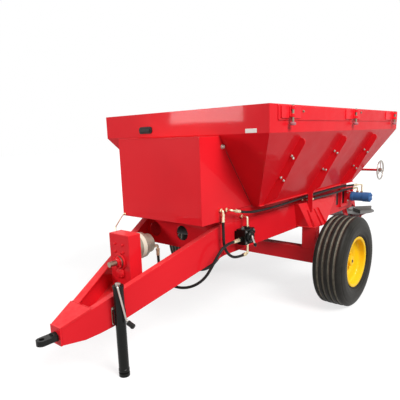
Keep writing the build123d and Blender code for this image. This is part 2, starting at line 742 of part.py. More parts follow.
with BuildPart() as spinner_motors:
    for y in (-DISC_Y, DISC_Y):
        rod((DISC_X, y, DECK_Z - 110), (DISC_X, y, DECK_Z), 42)
        rod((DISC_X, y, DECK_Z - 50), (DISC_X, y, DECK_Z + 1), 14 + RUN_FIT, Mode.SUBTRACT)
spinner_motors.part.label = "spinner_motors"
export_step(spinner_motors.part, "parts/spinner_motors.step")

for side, s in SIDES:
    y = s * DISC_Y
    with BuildPart() as disc:
        rod((DISC_X, y, DISC_Z), (DISC_X, y, DISC_Z + DISC_T), DISC_R)
        rod((DISC_X, y, DISC_Z - 30), (DISC_X, y, DISC_Z + 10), 35)
        rod((DISC_X, y, DECK_Z - 45), (DISC_X, y, DISC_Z), 14)
        for i in range(4):
            turn = math.radians(45 + 90 * i)
            out = Vector(math.cos(turn), math.sin(turn), 0)
            root = Vector(px(DISC_X), y, DISC_Z + DISC_T) + out * 55
            plane = Plane(origin=root, x_dir=out, z_dir=(0, 0, 1))
            reach = DISC_R - 60
            prism(plane, [(0, -2), (reach, -2), (reach, 2), (0, 2)], VANE_H)
    disc.part.label = f"spinner_disc_{side}"
    export_step(disc.part, f"parts/spinner_disc_{side}.step")

# chute from the belt's end down to the discs
CHUTE = [(DRIVE_X - 125, 700), (DECK_FRONT - 30, 600)]
CHUTE_T = 4.0
with BuildPart() as chute:
    (x1, z1), (x2, z2) = CHUTE
    inside = RAIL_Y - PLATE_T
    sheet = [(x1, z1), (x2, z2), (x2, z2 + CHUTE_T), (x1, z1 + CHUTE_T)]
    side_prism(sheet, -inside, inside)
    cheek = [(x1, z1), (x2, z2), (x2 + 20, z2 + 60), (RAIL_REAR - 10, z1 + 110), (x1, z1 + 110)]
    for s in (1, -1):
        side_prism(cheek, s * (inside - CHUTE_T), s * inside)
chute.part.label = "chute"
export_step(chute.part, "parts/chute.step")

# ---------------------------------------------------------------- rear gate
OUTW = Vector(-1, 0, -SLOPE_REAR).normalized()
gate_root = Vector(px(hop_rear(GATE_LOW)), 0, GATE_LOW)
wall_plane = Plane(origin=gate_root, x_dir=(0, -1, 0), z_dir=OUTW)
GUIDE_L = 330.0
GUIDE_IN = GATE_HALF + GATE_RUN
GUIDE_OUT = GUIDE_IN + 12
COVER = GATE_GAP + GATE_T + GATE_RUN
RACK_Y = (138.0, 162.0)
with BuildPart() as gate:
    plate = [(-GATE_HALF, 0), (GATE_HALF, 0), (GATE_HALF, GATE_L), (-GATE_HALF, GATE_L)]
    prism(wall_plane.offset(GATE_GAP), plate, GATE_T)
    for s in (1, -1):
        y0, y1 = s * RACK_Y[0], s * RACK_Y[1]
        bar = [(y0, 10), (y1, 10), (y1, RACK_L), (y0, RACK_L)]
        prism(wall_plane.offset(GATE_GAP + GATE_T - 1), bar, RACK_T + 1)
gate.part.label = "gate"
export_step(gate.part, "parts/gate.step")

# guides with the brackets that carry the cross shaft
with BuildPart() as gate_guides:
    for s in (1, -1):
        for y0, y1, t0, t1 in ((GUIDE_IN, GUIDE_OUT, 0, COVER), (GUIDE_IN - 14, GUIDE_OUT, COVER, COVER + 4)):
            strip = [(s * y0, 0), (s * y1, 0), (s * y1, GUIDE_L), (s * y0, GUIDE_L)]
            prism(wall_plane.offset(t0), strip, t1 - t0)
        bracket = [
            (hop_rear(ADJ_Z + 60), ADJ_Z + 60),
            (ADJ_X - 25, ADJ_Z + 25),
            (ADJ_X - 25, ADJ_Z - 25),
            (hop_rear(ADJ_Z - 60), ADJ_Z - 60),
        ]
        side_prism(bracket, s * GUIDE_OUT, s * (GUIDE_OUT + 10))
        rod((ADJ_X, s * (GUIDE_OUT - 1), ADJ_Z), (ADJ_X, s * (GUIDE_OUT + 11), ADJ_Z), 12, Mode.SUBTRACT)
gate_guides.part.label = "gate_guides"
export_step(gate_guides.part, "parts/gate_guides.step")

# cross shaft: two pinions lift the gate by its racks, the wheel turns it
SHAFT_OFF = (hop_rear(ADJ_Z) - ADJ_X) / math.hypot(1, SLOPE_REAR)
PINION_GAP = 1.0
PINION_R = SHAFT_OFF - GATE_GAP - GATE_T - RACK_T - PINION_GAP
with BuildPart() as adjuster:
    rod((ADJ_X, -GUIDE_OUT - 25, ADJ_Z), (ADJ_X, ADJ_END, ADJ_Z), 12)
    for s in (1, -1):
        rod((ADJ_X, s * RACK_Y[0], ADJ_Z), (ADJ_X, s * RACK_Y[1], ADJ_Z), PINION_R)
adjuster.part.label = "adjuster_shaft"
export_step(adjuster.part, "parts/adjuster_shaft.step")

with BuildPart() as hand_wheel:
    mid = ADJ_END - 11
    centre = (px(ADJ_X), mid, ADJ_Z)
    with BuildSketch(Plane(origin=centre, x_dir=(1, 0, 0), z_dir=(0, 0, 1))) as ring:
        with Locations((WHEEL_R - 8, 0)):
            Circle(8)
    revolve(ring.sketch, axis=Axis(centre, (0, 1, 0)))
    rod((ADJ_X, mid - 14, ADJ_Z), (ADJ_X, mid + 11, ADJ_Z), 22)
    for i in range(3):
        turn = math.radians(90 + 120 * i)
        reach = WHEEL_R - 8
        tip = (ADJ_X + reach * math.cos(turn), mid, ADJ_Z + reach * math.sin(turn))
        rod((ADJ_X, mid, ADJ_Z), tip, 5)
    rod((ADJ_X, mid - 15, ADJ_Z), (ADJ_X, mid + 12, ADJ_Z), 12, Mode.SUBTRACT)
hand_wheel.part.label = "hand_wheel"
export_step(hand_wheel.part, "parts/hand_wheel.step")

# ---------------------------------------------------------------- valve, fittings, hoses
VALVE_X = 950.0
VALVE_Y = 455.0
VALVE_Z = (682.0, 792.0)
with BuildPart() as valve:
    block((VALVE_X - 50, VALVE_X + 50), (RAIL_Y, VALVE_Y - 38), (700, 775))
    block((VALVE_X - 62, VALVE_X + 58), (VALVE_Y - 38, VALVE_Y + 36), VALVE_Z)
    rod((VALVE_X - 92, VALVE_Y, 752), (VALVE_X - 62, VALVE_Y, 752), 22)
    rod((VALVE_X + 10, VALVE_Y + 36, 730), (VALVE_X + 10, VALVE_Y + 62, 730), 20)
    rod((VALVE_X + 58, VALVE_Y, 722), (VALVE_X + 78, VALVE_Y, 722), 18)
valve.part.label = "valve"
export_step(valve.part, "parts/valve.step")

# fittings: each a bent pipe through its points, then a crimp on the last run
ELBOW_R = 9.0
FITTINGS = {
    "valve_side": ([(1028, 455, 722), (1050, 455, 722), (1100, 455, 722)], 1),
    "valve_low": ([(925, 455, 682), (925, 455, 600), (950, 455, 600), (988, 455, 600)], 2),
    "valve_high": ([(925, 455, 792), (925, 455, 872), (925, 395, 872)], 0),
    "box_down": ([(1172, 398, 952), (1172, 425, 952), (1172, 425, 928), (1172, 425, 872)], 2),
    "box_back": ([(1110, 398, 948), (1110, 450, 948), (1060, 450, 936), (1010, 450, 924)], 2),
    "motor_far": ([(-1040, 565, 816), (-1040, 565, 900), (-985, 531.3, 900), (-946, 507.4, 900)], 2),
    "motor_near": ([(-1040, 520, 816), (-1040, 520, 866), (-990, 508, 866), (-945, 497.2, 866)], 2),
    "rail_port": ([(-25, 395, 866), (-25, 466, 866), (-55, 466, 866), (-98, 466, 866)], 2),
    "pump_port": ([(PUMP_REAR, 50, 717), (1440, 50, 717), (1440, 50, 690), (1440, 50, 642)], 2),
}
with BuildPart() as hose_fittings:
    for points, start in FITTINGS.values():
        with BuildPart(mode=Mode.PRIVATE) as one:
            for i, (a, b) in enumerate(zip(points, points[1:])):
                rod(a, b, CRIMP_R if start and i >= start else ELBOW_R)
                if i + 1 < (start or len(points) - 1):
                    with Locations((px(b[0]), b[1], b[2])):
                        Sphere(ELBOW_R * 1.02)
        for piece in one.part.solids():
            add(piece)
hose_fittings.part.label = "hose_fittings"
export_step(hose_fittings.part, "parts/hose_fittings.step")

HOSES = {
    "hose_pump": [
        (1100, 455, 722), (1192, 455, 722), (1262, 448, 668), (1302, 425, 592), (1330, 385, 510),
        (1358, 318, 450), (1388, 235, 420), (1418, 150, 428), (1436, 80, 480), (1440, 50, 560),
        (1440, 50, 642),
    ],
    "hose_tank": [
        (1172, 425, 872), (1172, 425, 782), (1171, 428, 698), (1139, 440, 637), (1078, 455, 600),
        (988, 455, 600),
    ],
    "hose_motor": [
        (1010, 450, 924), (910, 450, 900), (750, 450, 890), (530, 451, 886), (290, 450, 890),
        (40, 450, 896), (-215, 451, 901), (-470, 450, 903), (-690, 451, 902), (-859, 454, 900),
        (-946, 507.4, 900),
    ],
    "hose_return": [
        (-98, 466, 866), (-200, 466, 866), (-350, 467, 863), (-540, 468, 861), (-720, 470, 863),
        (-840, 472, 866), (-945, 497.2, 866),
    ],
}
for name, points in HOSES.items():
    spots = [Vector(px(x), y, z) for x, y, z in points]
    runs = [(b - a) for a, b in zip(spots, spots[1:])]
    radii = []
    for a, b in zip(runs, runs[1:]):
        half = math.radians(a.get_angle(b)) / 2
        radii.append(0.45 * min(a.length, b.length) / math.tan(half))
    with BuildPart() as hose:
        with BuildLine() as route:
            FilletPolyline(*spots, radius=radii)
        line = route.wires()[0]
        with BuildSketch(Plane(origin=spots[0], z_dir=runs[0])) as ring:
            Circle(HOSE_D / 2)
        sweep(ring.sketch, path=line)
    hose.part.label = name
    export_step(hose.part, f"parts/{name}.step")
    volume = math.pi * HOSE_D**2 / 4 * line.length
    share = round(hose.part.volume / volume, 3)
    print(name, "length", round(line.length), "volume share", share, "radii", [round(r) for r in radii])

print("axle at X", round(AXLE_X, 2), "length", REACH_FRONT - REACH_REAR)
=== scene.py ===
# %% [markdown]
# # A towed fertilizer spreader, dressed for a render
#
# The machine's solids come ready made, as a fixed frame in metres: X runs
# forward to the tow eye, Y to the machine's left, Z up. This file gives each
# solid its finish and adds what is too fine for a solid: the ribbed tyres,
# the pressed wheels, nuts and bolts, clamps, hose ends and weld beads.
#
# Such small shapes could be drawn by hand. Here they are surfaces worked out
# with numpy, as whole arrays: a profile turned about an axis, a section
# carried along a path, or a plate's outline lifted through its thickness. A
# changed size then carries through by itself.

import json
import math

import bpy
import numpy as np
from mathutils import Matrix, Vector


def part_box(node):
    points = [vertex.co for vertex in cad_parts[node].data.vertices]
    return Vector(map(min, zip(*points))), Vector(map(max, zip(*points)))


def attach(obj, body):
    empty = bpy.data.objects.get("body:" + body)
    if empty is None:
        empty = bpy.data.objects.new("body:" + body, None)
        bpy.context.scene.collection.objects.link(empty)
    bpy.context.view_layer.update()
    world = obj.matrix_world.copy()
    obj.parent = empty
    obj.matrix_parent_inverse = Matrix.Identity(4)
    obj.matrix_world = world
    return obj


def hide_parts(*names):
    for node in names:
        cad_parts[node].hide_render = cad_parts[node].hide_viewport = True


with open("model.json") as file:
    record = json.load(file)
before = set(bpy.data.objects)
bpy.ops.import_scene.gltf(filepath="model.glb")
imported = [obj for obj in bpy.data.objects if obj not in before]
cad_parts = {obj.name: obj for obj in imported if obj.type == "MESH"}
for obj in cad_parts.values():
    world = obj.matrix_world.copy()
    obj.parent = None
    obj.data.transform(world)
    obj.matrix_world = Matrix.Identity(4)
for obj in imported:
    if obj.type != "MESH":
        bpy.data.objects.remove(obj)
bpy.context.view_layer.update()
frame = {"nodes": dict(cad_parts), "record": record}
nodes = frame["nodes"]
tyre_low, tyre_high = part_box("tyre_left")
AXLE_X = (tyre_low.x + tyre_high.x) / 2
SIDES = {"left": 1, "right": -1}
print("solids:", len(nodes), "axle at x =", round(AXLE_X, 4))

# %% [markdown]
# ## The camera
#
# A camera could be turned by eye until the picture looks right. Its place,
# turn and lens were worked out instead from straight edges and circles: the
# two wheels, the hopper's corners and the drawbar were fitted together, so
# every later piece can be judged against the photograph. Lengths along X are
# measured from the axle. A small shift keeps the picture's middle where the
# lens looked.

# %% Camera
CAMERA_PLACE = Vector((AXLE_X + 3.39854, 2.13461, 1.45417))
CAMERA_RIGHT = Vector((-0.65442678, 0.75537216, -0.03374143))
CAMERA_UP = Vector((-0.17630482, -0.10904577, 0.97827687))
CAMERA_BACK = CAMERA_RIGHT.cross(CAMERA_UP).normalized()
PICTURE_PX, FOCAL_PX = 400, 419.789
LOOK_X_PX, LOOK_Y_PX = 195.947, 223.695
SENSOR_MM = 36.0
lens_data = bpy.data.cameras.new("camera")
lens_data.sensor_width = SENSOR_MM
lens_data.lens = FOCAL_PX / PICTURE_PX * SENSOR_MM
lens_data.shift_x = (PICTURE_PX / 2 - LOOK_X_PX) / PICTURE_PX
lens_data.shift_y = (LOOK_Y_PX - PICTURE_PX / 2) / PICTURE_PX
camera = bpy.data.objects.new("camera", lens_data)
turn = Matrix((CAMERA_RIGHT, CAMERA_UP, CAMERA_BACK)).transposed()
camera.matrix_world = Matrix.Translation(CAMERA_PLACE) @ turn.to_4x4()
bpy.context.scene.collection.objects.link(camera)
bpy.context.scene.camera = camera
bpy.context.scene.view_settings.view_transform = "Standard"
print("lens", round(lens_data.lens, 2), "mm")

# %% [markdown]
# ## The hydraulic hoses
#
# Four rubber hoses of 20 mm carry oil: from the pump to the valve in a loop
# under the drawbar, from the box down to the valve, and two along the sill to
# the belt motor. They could be swept meshes. A curve with a round section is
# lighter and stays smooth: a stiff hose is one spline led by a few control
# points, straight where it leaves a fitting. The points are the ones that
# the solid hoses follow, in metres from the axle.

# %% Hose routes
HOSE_D = 0.020
HOSE_ROUTES = {
    "hose_pump": [
        (1.100, 0.455, 0.722), (1.192, 0.455, 0.722), (1.262, 0.448, 0.668), (1.302, 0.425, 0.592),
        (1.330, 0.385, 0.510), (1.358, 0.318, 0.450), (1.388, 0.235, 0.420), (1.418, 0.150, 0.428),
        (1.436, 0.080, 0.480), (1.440, 0.050, 0.560), (1.440, 0.050, 0.642),
    ],
    "hose_tank": [
        (1.172, 0.425, 0.872), (1.172, 0.425, 0.782), (1.171, 0.428, 0.698), (1.139, 0.440, 0.637),
        (1.078, 0.455, 0.600), (0.988, 0.455, 0.600),
    ],
    "hose_motor": [
        (1.010, 0.450, 0.924), (0.910, 0.450, 0.900), (0.750, 0.450, 0.890), (0.530, 0.451, 0.886),
        (0.290, 0.450, 0.890), (0.040, 0.450, 0.896), (-0.215, 0.451, 0.901), (-0.470, 0.450, 0.903),
        (-0.690, 0.451, 0.902), (-0.859, 0.454, 0.900), (-0.946, 0.5074, 0.900),
    ],
    "hose_return": [
        (-0.098, 0.466, 0.866), (-0.200, 0.466, 0.866), (-0.350, 0.467, 0.863), (-0.540, 0.468, 0.861),
        (-0.720, 0.470, 0.863), (-0.840, 0.472, 0.866), (-0.945, 0.4972, 0.866),
    ],
}
HOSE_LENGTHS_LAYS = {
    "hose_pump": (0.887, "hanging"), "hose_tank": (0.402, "loose"),
    "hose_motor": (1.972, "loose"), "hose_return": (0.850, "loose"),
}
print("control points:", {name: len(route) for name, route in HOSE_ROUTES.items()})

# %% Hoses
def place(x, y, z):
    """A point of the frame, from a length along X that starts at the axle."""
    return (x + AXLE_X, y, z)


def hose(name, route, length, lay):
    """Round hose on a quadratic spline whose control points are the route's."""
    curve = bpy.data.curves.new(name + "_rubber", "CURVE")
    curve.dimensions = "3D"
    curve.bevel_depth = 1.0
    curve.bevel_resolution = 5
    curve.resolution_u = 8
    curve.use_fill_caps = True
    spline = curve.splines.new("NURBS")
    spline.points.add(len(route) - 1)
    for point, spot in zip(spline.points, route):
        point.co = (*place(*spot), 1.0)
        point.radius = HOSE_D / 2
    spline.order_u = 3
    spline.use_endpoint_u = True
    piece = bpy.data.objects.new(name + "_rubber", curve)
    bpy.context.scene.collection.objects.link(piece)
    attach(piece, "chassis")
    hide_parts(name)
    return piece


hoses = [hose(name, route, *HOSE_LENGTHS_LAYS[name]) for name, route in HOSE_ROUTES.items()]
print("hoses:", [piece.name for piece in hoses])

# %% [markdown]
# ## Surfaces from numpy
#
# Every small piece here is sheet, bar or turned metal. Blender's cylinders,
# cubes and modifiers could make them one by one. Arrays make them all at
# once, and each formula stays in view. A patch is an array of points, its
# four-sided faces, and the end faces that close it. A turned patch is a
# profile swung about an axis, as on a lathe: tyres, wheels, ferrules. A
# carried patch is a section moved along a path: weld beads, bent pipes. A
# slab is a plate's outline with softened edges.

# %% Patch from rings of points
AHEAD, LEFT, UP = (1, 0, 0), (0, 1, 0), (0, 0, 1)


def unit(vectors):
    """Each row divided by its own length."""
    vectors = np.asarray(vectors, float)
    return vectors / np.linalg.norm(vectors, axis=-1, keepdims=True)


def at_axle(points):
    """Places given from the axle, moved into the frame."""
    return np.asarray(points, float) + np.array([AXLE_X, 0.0, 0.0])


def tube(points, ring=False):
    """Patch from rows of points that each close: cell corners (i, j), (i, j+1), (i+1, j+1), (i+1, j).

    A ring closes from its last row to its first as well, and needs no end faces.
    """
    rows, columns = points.shape[:2]
    i, j = np.meshgrid(np.arange(rows if ring else rows - 1), np.arange(columns), indexing="ij")
    i2, j2 = (i + 1) % rows, (j + 1) % columns
    cells = [i * columns + j, i * columns + j2, i2 * columns + j2, i2 * columns + j]
    around = np.arange(columns)
    ends = [] if ring else [around[::-1], (rows - 1) * columns + around]
    return points.reshape(-1, 3), np.stack(cells, -1).reshape(-1, 4), ends


print("a tube of 4 rows of 3 points has", len(tube(np.zeros((4, 3, 3)))[1]), "sides and 2 ends")

# %% Mesh from patches
def joined(patches):
    """Several patches as one: later point numbers move up by the earlier count."""
    starts = np.cumsum([0] + [len(points) for points, *_ in patches])
    points = np.concatenate([patch[0] for patch in patches])
    quads = np.concatenate([patch[1] + start for patch, start in zip(patches, starts)])
    ends = [end + start for patch, start in zip(patches, starts) for end in patch[2]]
    return points, quads, ends


def make_piece(name, patches, body, material, smooth=40):
    """Mesh object from patches, riding on a body; an edge that turns more than smooth degrees stays sharp."""
    points, quads, ends = joined(patches)
    mesh = bpy.data.meshes.new(name)
    mesh.from_pydata(points.tolist(), [], quads.tolist() + [end.tolist() for end in ends])
    mesh.polygons.foreach_set("use_smooth", np.ones(len(mesh.polygons), bool))
    mesh.set_sharp_from_angle(angle=math.radians(smooth))
    mesh.materials.append(material)
    mesh.update()
    piece = bpy.data.objects.new(name, mesh)
    bpy.context.scene.collection.objects.link(piece)
    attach(piece, body)
    return piece


print("two tubes joined have", len(joined([tube(np.zeros((4, 3, 3)))] * 2)[0]), "points")

# %% Turned and carried patches
ODD = (0.31, 0.52, 0.8)  # a direction that no axis of the machine shares
CLEAR = 0.0002  # a hair's breadth between a nut and the face it stands on


def turned(profile, centre, axis, side, around=48, ring=False):
    """Profile rows (a, r) about an axis: P = centre + a*axis + r*(cos t*side + sin t*axis x side)."""
    axis, side = unit(axis), unit(side)
    angle = np.linspace(0, 2 * np.pi, around, endpoint=False)
    circle = np.cos(angle)[:, None] * side + np.sin(angle)[:, None] * np.cross(axis, side)
    profile = np.asarray(profile, float)[:, None]
    return tube(np.asarray(centre, float) + profile[..., :1] * axis + profile[..., 1:] * circle, ring)


def lathe_run(rows, start, end, around=20):
    """Turned patch between two points: rows are (share of the run, radius)."""
    length = np.linalg.norm(end - start)
    axis = (end - start) / length
    return turned([(share * length, r) for share, r in rows], start, axis, np.cross(axis, ODD), around)


def carried(section, path, up, scale=1.0):
    """Section rows (left, up) on a path: P = path + scale*(s*left + h*rise), left = up x tangent."""
    path = np.asarray(path, float)
    tangent = unit(np.gradient(path, axis=0))
    left = unit(np.cross(up, tangent))
    rise = np.cross(tangent, left)
    across = section[None, :, :1] * left[:, None] + section[None, :, 1:] * rise[:, None]
    return tube(path[:, None] + np.broadcast_to(scale, len(path))[:, None, None] * across)


def round_section(radius, around=10):
    """Circle of (left, up) rows, counterclockwise."""
    angle = np.linspace(0, 2 * np.pi, around, endpoint=False)
    return radius * np.stack([np.cos(angle), np.sin(angle)], -1)


print("a turned cone has", len(turned([(0, 1), (1, 0.5)], (0, 0, 0), UP, AHEAD)[1]), "sides")

# %% Eased corners and plates
def eased(corners, reach, steps, closed=True):
    """Outline whose corners are eased by B(s) = (1-s)^2*P0 + 2s(1-s)*corner + s^2*P1."""
    corners = np.asarray(corners, float)
    before, after = np.roll(corners, 1, 0) - corners, np.roll(corners, -1, 0) - corners
    near = [np.minimum(reach, 0.45 * np.linalg.norm(d, axis=1))[:, None] * unit(d) for d in (before, after)]
    s = np.linspace(0, 1, steps)[None, :, None]
    first, last = (corners + near[0])[:, None], (corners + near[1])[:, None]
    curve = (1 - s) ** 2 * first + 2 * s * (1 - s) * corners[:, None] + s**2 * last
    if closed:
        return curve.reshape(-1, corners.shape[1])
    inner = curve[1:-1].reshape(-1, corners.shape[1])
    return np.concatenate([corners[:1], inner, corners[-1:]])


def slab(outline, thick, origin, x_dir, y_dir, edge=0.0012):
    """Plate: four rings of a counterclockwise outline, drawn in at both faces by the edge."""
    outline = np.asarray(outline, float)
    x_dir, y_dir = unit(x_dir), unit(y_dir)
    run = unit(np.roll(outline, -1, 0) - np.roll(outline, 1, 0))
    inward = np.stack([-run[:, 1], run[:, 0]], -1)
    rings = [(edge, 0.0), (0.0, edge), (0.0, thick - edge), (edge, thick)]
    flat = np.stack([outline + inset * inward for inset, _ in rings])
    lift = np.array([height for _, height in rings])[:, None, None] * np.cross(x_dir, y_dir)
    return tube(np.asarray(origin, float) + flat[..., :1] * x_dir + flat[..., 1:] * y_dir + lift)


def oblong(x0, x1, y0, y1, reach, steps=4):
    """Outline of a rectangle with eased corners, counterclockwise; its x ends may come either way round."""
    x0, x1 = sorted((x0, x1))
    return eased([(x0, y0), (x1, y0), (x1, y1), (x0, y1)], reach, steps)


print("an eased rectangle has", len(oblong(0, 2, 0, 1, 0.1)), "points")

# %% Nuts
HEAD_ROWS = np.array([  # radius, height, and 1 where the ring is six-sided, in widths across flats
    (0.72, 0.0, 0), (0.72, 0.09, 0), (0.66, 0.11, 0), (0.5, 0.11, 1), (0.5, 0.52, 1),
    (0.47, 0.60, 0), (0.27, 0.61, 0), (0.27, 0.82, 0), (0.22, 0.86, 0),
])


def nuts(places, normal, across):
    """Washer, nut and stud end at every place; a hexagon's radius is (across/2)/cos(angle from a flat)."""
    angle = np.linspace(0, 2 * np.pi, 12, endpoint=False)
    six = 1 / np.cos((angle + np.pi / 6) % (np.pi / 3) - np.pi / 6)
    radius = HEAD_ROWS[:, :1] * np.where(HEAD_ROWS[:, 2:] > 0, six[None], 1.0) * across
    places = np.asarray(places, float).reshape(-1, 3)
    normal = unit(np.broadcast_to(np.asarray(normal, float), places.shape))
    side = unit(np.cross(normal, ODD))
    other = np.cross(normal, side)
    flat = radius[None, ..., None] * (
        np.cos(angle)[None, None, :, None] * side[:, None, None]
        + np.sin(angle)[None, None, :, None] * other[:, None, None]
    )
    lift = across * HEAD_ROWS[None, :, 1, None, None] * normal[:, None, None]
    return joined([tube(rings) for rings in places[:, None, None] + flat + lift])


def ring_of(count, radius, centre, first, second, phase=0.0):
    """Places round a circle: P = centre + radius*(cos t*first + sin t*second)."""
    t = (phase + 2 * np.pi * np.arange(count) / count)[:, None]
    return np.asarray(centre) + radius * (np.cos(t) * np.array(first) + np.sin(t) * np.array(second))


print("a nut has", len(HEAD_ROWS) * 12, "points")

# %% Weld bead
RIPPLE = 0.14  # share by which a bead's ripples swell and shrink


def bead(start, end, radius, up=(0.1, 0.2, 1), pitch=0.009):
    """Weld bead on a straight run: a round section that ripples as 1 + RIPPLE*cos(2*pi*s/pitch)."""
    length = np.linalg.norm(end - start)
    s = np.linspace(0, length, max(8, int(length / pitch * 3)))
    path = start + (s / length)[:, None] * (end - start)
    taper = np.clip(np.minimum(s, length - s) / (2 * radius), 0.25, 1)
    size = taper * (1 + RIPPLE * np.cos(2 * np.pi * s / pitch))
    return carried(round_section(radius, 8), path, up, size)


print("a bead of 0.1 m has", len(bead(np.zeros(3), np.array([0.1, 0, 0]), 0.004)[0]), "points")

# %% [markdown]
# ## Paint, steel and rubber
#
# The machine is sprayed in one glossy red enamel; shafts, bolts and rubber
# keep their own surface. Painted image textures could show the wear. Noise on
# Object coordinates needs no image and holds at any size: a slow noise lets
# colour and roughness drift, a fine one gives the orange peel, and a clear
# coat gives the sharp reflections that the hopper's walls show.

# %% Shader and noise
def shader_of(name):
    """New node material; gives back the material, its tree and its shader."""
    material = bpy.data.materials.new(name)
    material.use_nodes = True
    return material, material.node_tree, material.node_tree.nodes["Principled BSDF"]


def object_place(tree, stretch=(1, 1, 1), moved=(0, 0, 0)):
    """Object coordinates, stretched by axis and then moved."""
    where = tree.nodes.new("ShaderNodeTexCoord")
    mapping = tree.nodes.new("ShaderNodeMapping")
    mapping.inputs["Scale"].default_value = stretch
    mapping.inputs["Location"].default_value = moved
    tree.links.new(where.outputs["Object"], mapping.inputs["Vector"])
    return mapping.outputs["Vector"]


def add_noise(tree, scale, detail, rough=0.5, stretch=(1, 1, 1)):
    """Noise on Object coordinates, in features per metre, stretched by axis."""
    noise = tree.nodes.new("ShaderNodeTexNoise")
    for key, number in (("Scale", scale), ("Detail", detail), ("Roughness", rough)):
        noise.inputs[key].default_value = number
    tree.links.new(object_place(tree, stretch), noise.inputs["Vector"])
    return noise.outputs["Fac"]


def add_distance(tree, stretch=(1, 1, 1), moved=(0, 0, 0)):
    """Length of the stretched and moved Object coordinates."""
    length = tree.nodes.new("ShaderNodeVectorMath")
    length.operation = "LENGTH"
    tree.links.new(object_place(tree, stretch, moved), length.inputs[0])
    return length.outputs["Value"]


print("noise and distance are measured in metres on each object")

# %% Ramp, range, mix and arithmetic
def join_in(tree, socket, value):
    """Wires a socket into another one, or sets it to a number or a colour."""
    if isinstance(value, bpy.types.NodeSocket):
        tree.links.new(value, socket)
    else:
        socket.default_value = value


def add_ramp(tree, value, stops):
    """Colour ramp over a value; stops are (position, colour) pairs."""
    ramp = tree.nodes.new("ShaderNodeValToRGB")
    while len(ramp.color_ramp.elements) < len(stops):
        ramp.color_ramp.elements.new(0.5)
    for element, (position, colour) in zip(ramp.color_ramp.elements, stops):
        element.position = position
        element.color = (*colour, 1)
    tree.links.new(value, ramp.inputs["Fac"])
    return ramp.outputs["Color"]


def add_range(tree, value, onto, source=(0.0, 1.0)):
    """Value mapped from the source range onto another one, and held inside it."""
    node = tree.nodes.new("ShaderNodeMapRange")
    for key, number in zip(("From Min", "From Max", "To Min", "To Max"), (*source, *onto)):
        node.inputs[key].default_value = number
    tree.links.new(value, node.inputs["Value"])
    return node.outputs["Result"]


def add_mix(tree, factor, first, second):
    """Blend by a factor from a first colour socket or colour to a second colour."""
    node = tree.nodes.new("ShaderNodeMix")
    node.data_type = "RGBA"
    tree.links.new(factor, node.inputs[0])
    join_in(tree, node.inputs[6], first if isinstance(first, bpy.types.NodeSocket) else (*first, 1))
    join_in(tree, node.inputs[7], (*second, 1))
    return node.outputs[2]


def add_math(tree, operation, *values):
    """One operation on values, each a socket or a number."""
    node = tree.nodes.new("ShaderNodeMath")
    node.operation = operation
    for socket, value in zip(node.inputs, values):
        join_in(tree, socket, value)
    return node.outputs[0]


print("values can be ramped, mapped, mixed and multiplied")

# %% Bumps and top faces
def add_bump(tree, shader, height, strength, distance):
    """Bump from a height value, chained after any bump that is there."""
    bump = tree.nodes.new("ShaderNodeBump")
    bump.inputs["Strength"].default_value = strength
    bump.inputs["Distance"].default_value = distance
    tree.links.new(height, bump.inputs["Height"])
    if shader.inputs["Normal"].links:
        tree.links.new(shader.inputs["Normal"].links[0].from_socket, bump.inputs["Normal"])
    tree.links.new(bump.outputs["Normal"], shader.inputs["Normal"])


def up_facing(tree):
    """0 on walls and undersides, rising to 1 on faces that look up."""
    geometry = tree.nodes.new("ShaderNodeNewGeometry")
    split = tree.nodes.new("ShaderNodeSeparateXYZ")
    tree.links.new(geometry.outputs["Normal"], split.inputs["Vector"])
    return add_range(tree, split.outputs["Z"], (0.0, 1.0), (0.05, 1.0))


print("bumps chain, dust lies on faces that look up")

# %% Gloss paint
DUST = (0.55, 0.50, 0.45)
COAT_ROUGHNESS = 0.05


def gloss_paint(name, colour, dusty=0.10, roughness=0.38, coat=0.13, spec=0.04):
    """Sprayed enamel under a clear coat: slow colour drift, orange peel, dust on top faces."""
    material, tree, shader = shader_of(name)
    darker = tuple(c * 0.93 for c in colour)
    paler = tuple(min(1.0, c * 1.04 + 0.002) for c in colour)
    base = add_ramp(tree, add_noise(tree, 1.7, 3.0), [(0.32, darker), (0.5, colour), (0.7, paler)])
    cloud = add_range(tree, add_noise(tree, 26.0, 6.0, 0.7), (0.3, 1.0), (0.35, 0.75))
    film = add_math(tree, "MULTIPLY", add_math(tree, "MULTIPLY", up_facing(tree), cloud), dusty)
    tree.links.new(add_mix(tree, film, base, DUST), shader.inputs["Base Color"])
    gloss = add_range(tree, add_noise(tree, 9.0, 4.0, 0.6), (roughness * 0.85, roughness * 1.2), (0.3, 0.7))
    tree.links.new(gloss, shader.inputs["Roughness"])
    shader.inputs["Specular IOR Level"].default_value = spec
    shader.inputs["Coat Weight"].default_value = coat
    shader.inputs["Coat Roughness"].default_value = COAT_ROUGHNESS
    add_bump(tree, shader, add_noise(tree, 210.0, 2.0), 0.05, 0.0005)
    add_bump(tree, shader, add_noise(tree, 2.6, 1.0, 0.3), 0.10, 0.004)
    return material


red_paint = gloss_paint("red_paint", (0.74, 0.012, 0.020))
bright_red = gloss_paint("bracket_red", (0.86, 0.020, 0.030), roughness=0.3)
# a pale pink-grey red, used for the clamp feet
pink_grey_red = gloss_paint("pink_grey_red", (0.40, 0.15, 0.17), roughness=0.45)
cream_paint = gloss_paint("cream_paint", (0.66, 0.62, 0.50), roughness=0.45, dusty=0.2)
yellow_paint = gloss_paint("yellow_paint", (0.92, 0.55, 0.010), dusty=0.05)
blue_paint = gloss_paint("blue_paint", (0.045, 0.145, 0.36), dusty=0.06)
black_paint = gloss_paint("black_paint", (0.006, 0.006, 0.005), 0.01, roughness=0.28, coat=0.12, spec=0.12)
white_paint = gloss_paint("white_paint", (0.83, 0.80, 0.74), roughness=0.4, coat=0.1)
print("materials so far:", len(bpy.data.materials))

# %% Bare metals
STAIN, YELLOW_STAIN = (0.22, 0.17, 0.13), (0.45, 0.30, 0.12)


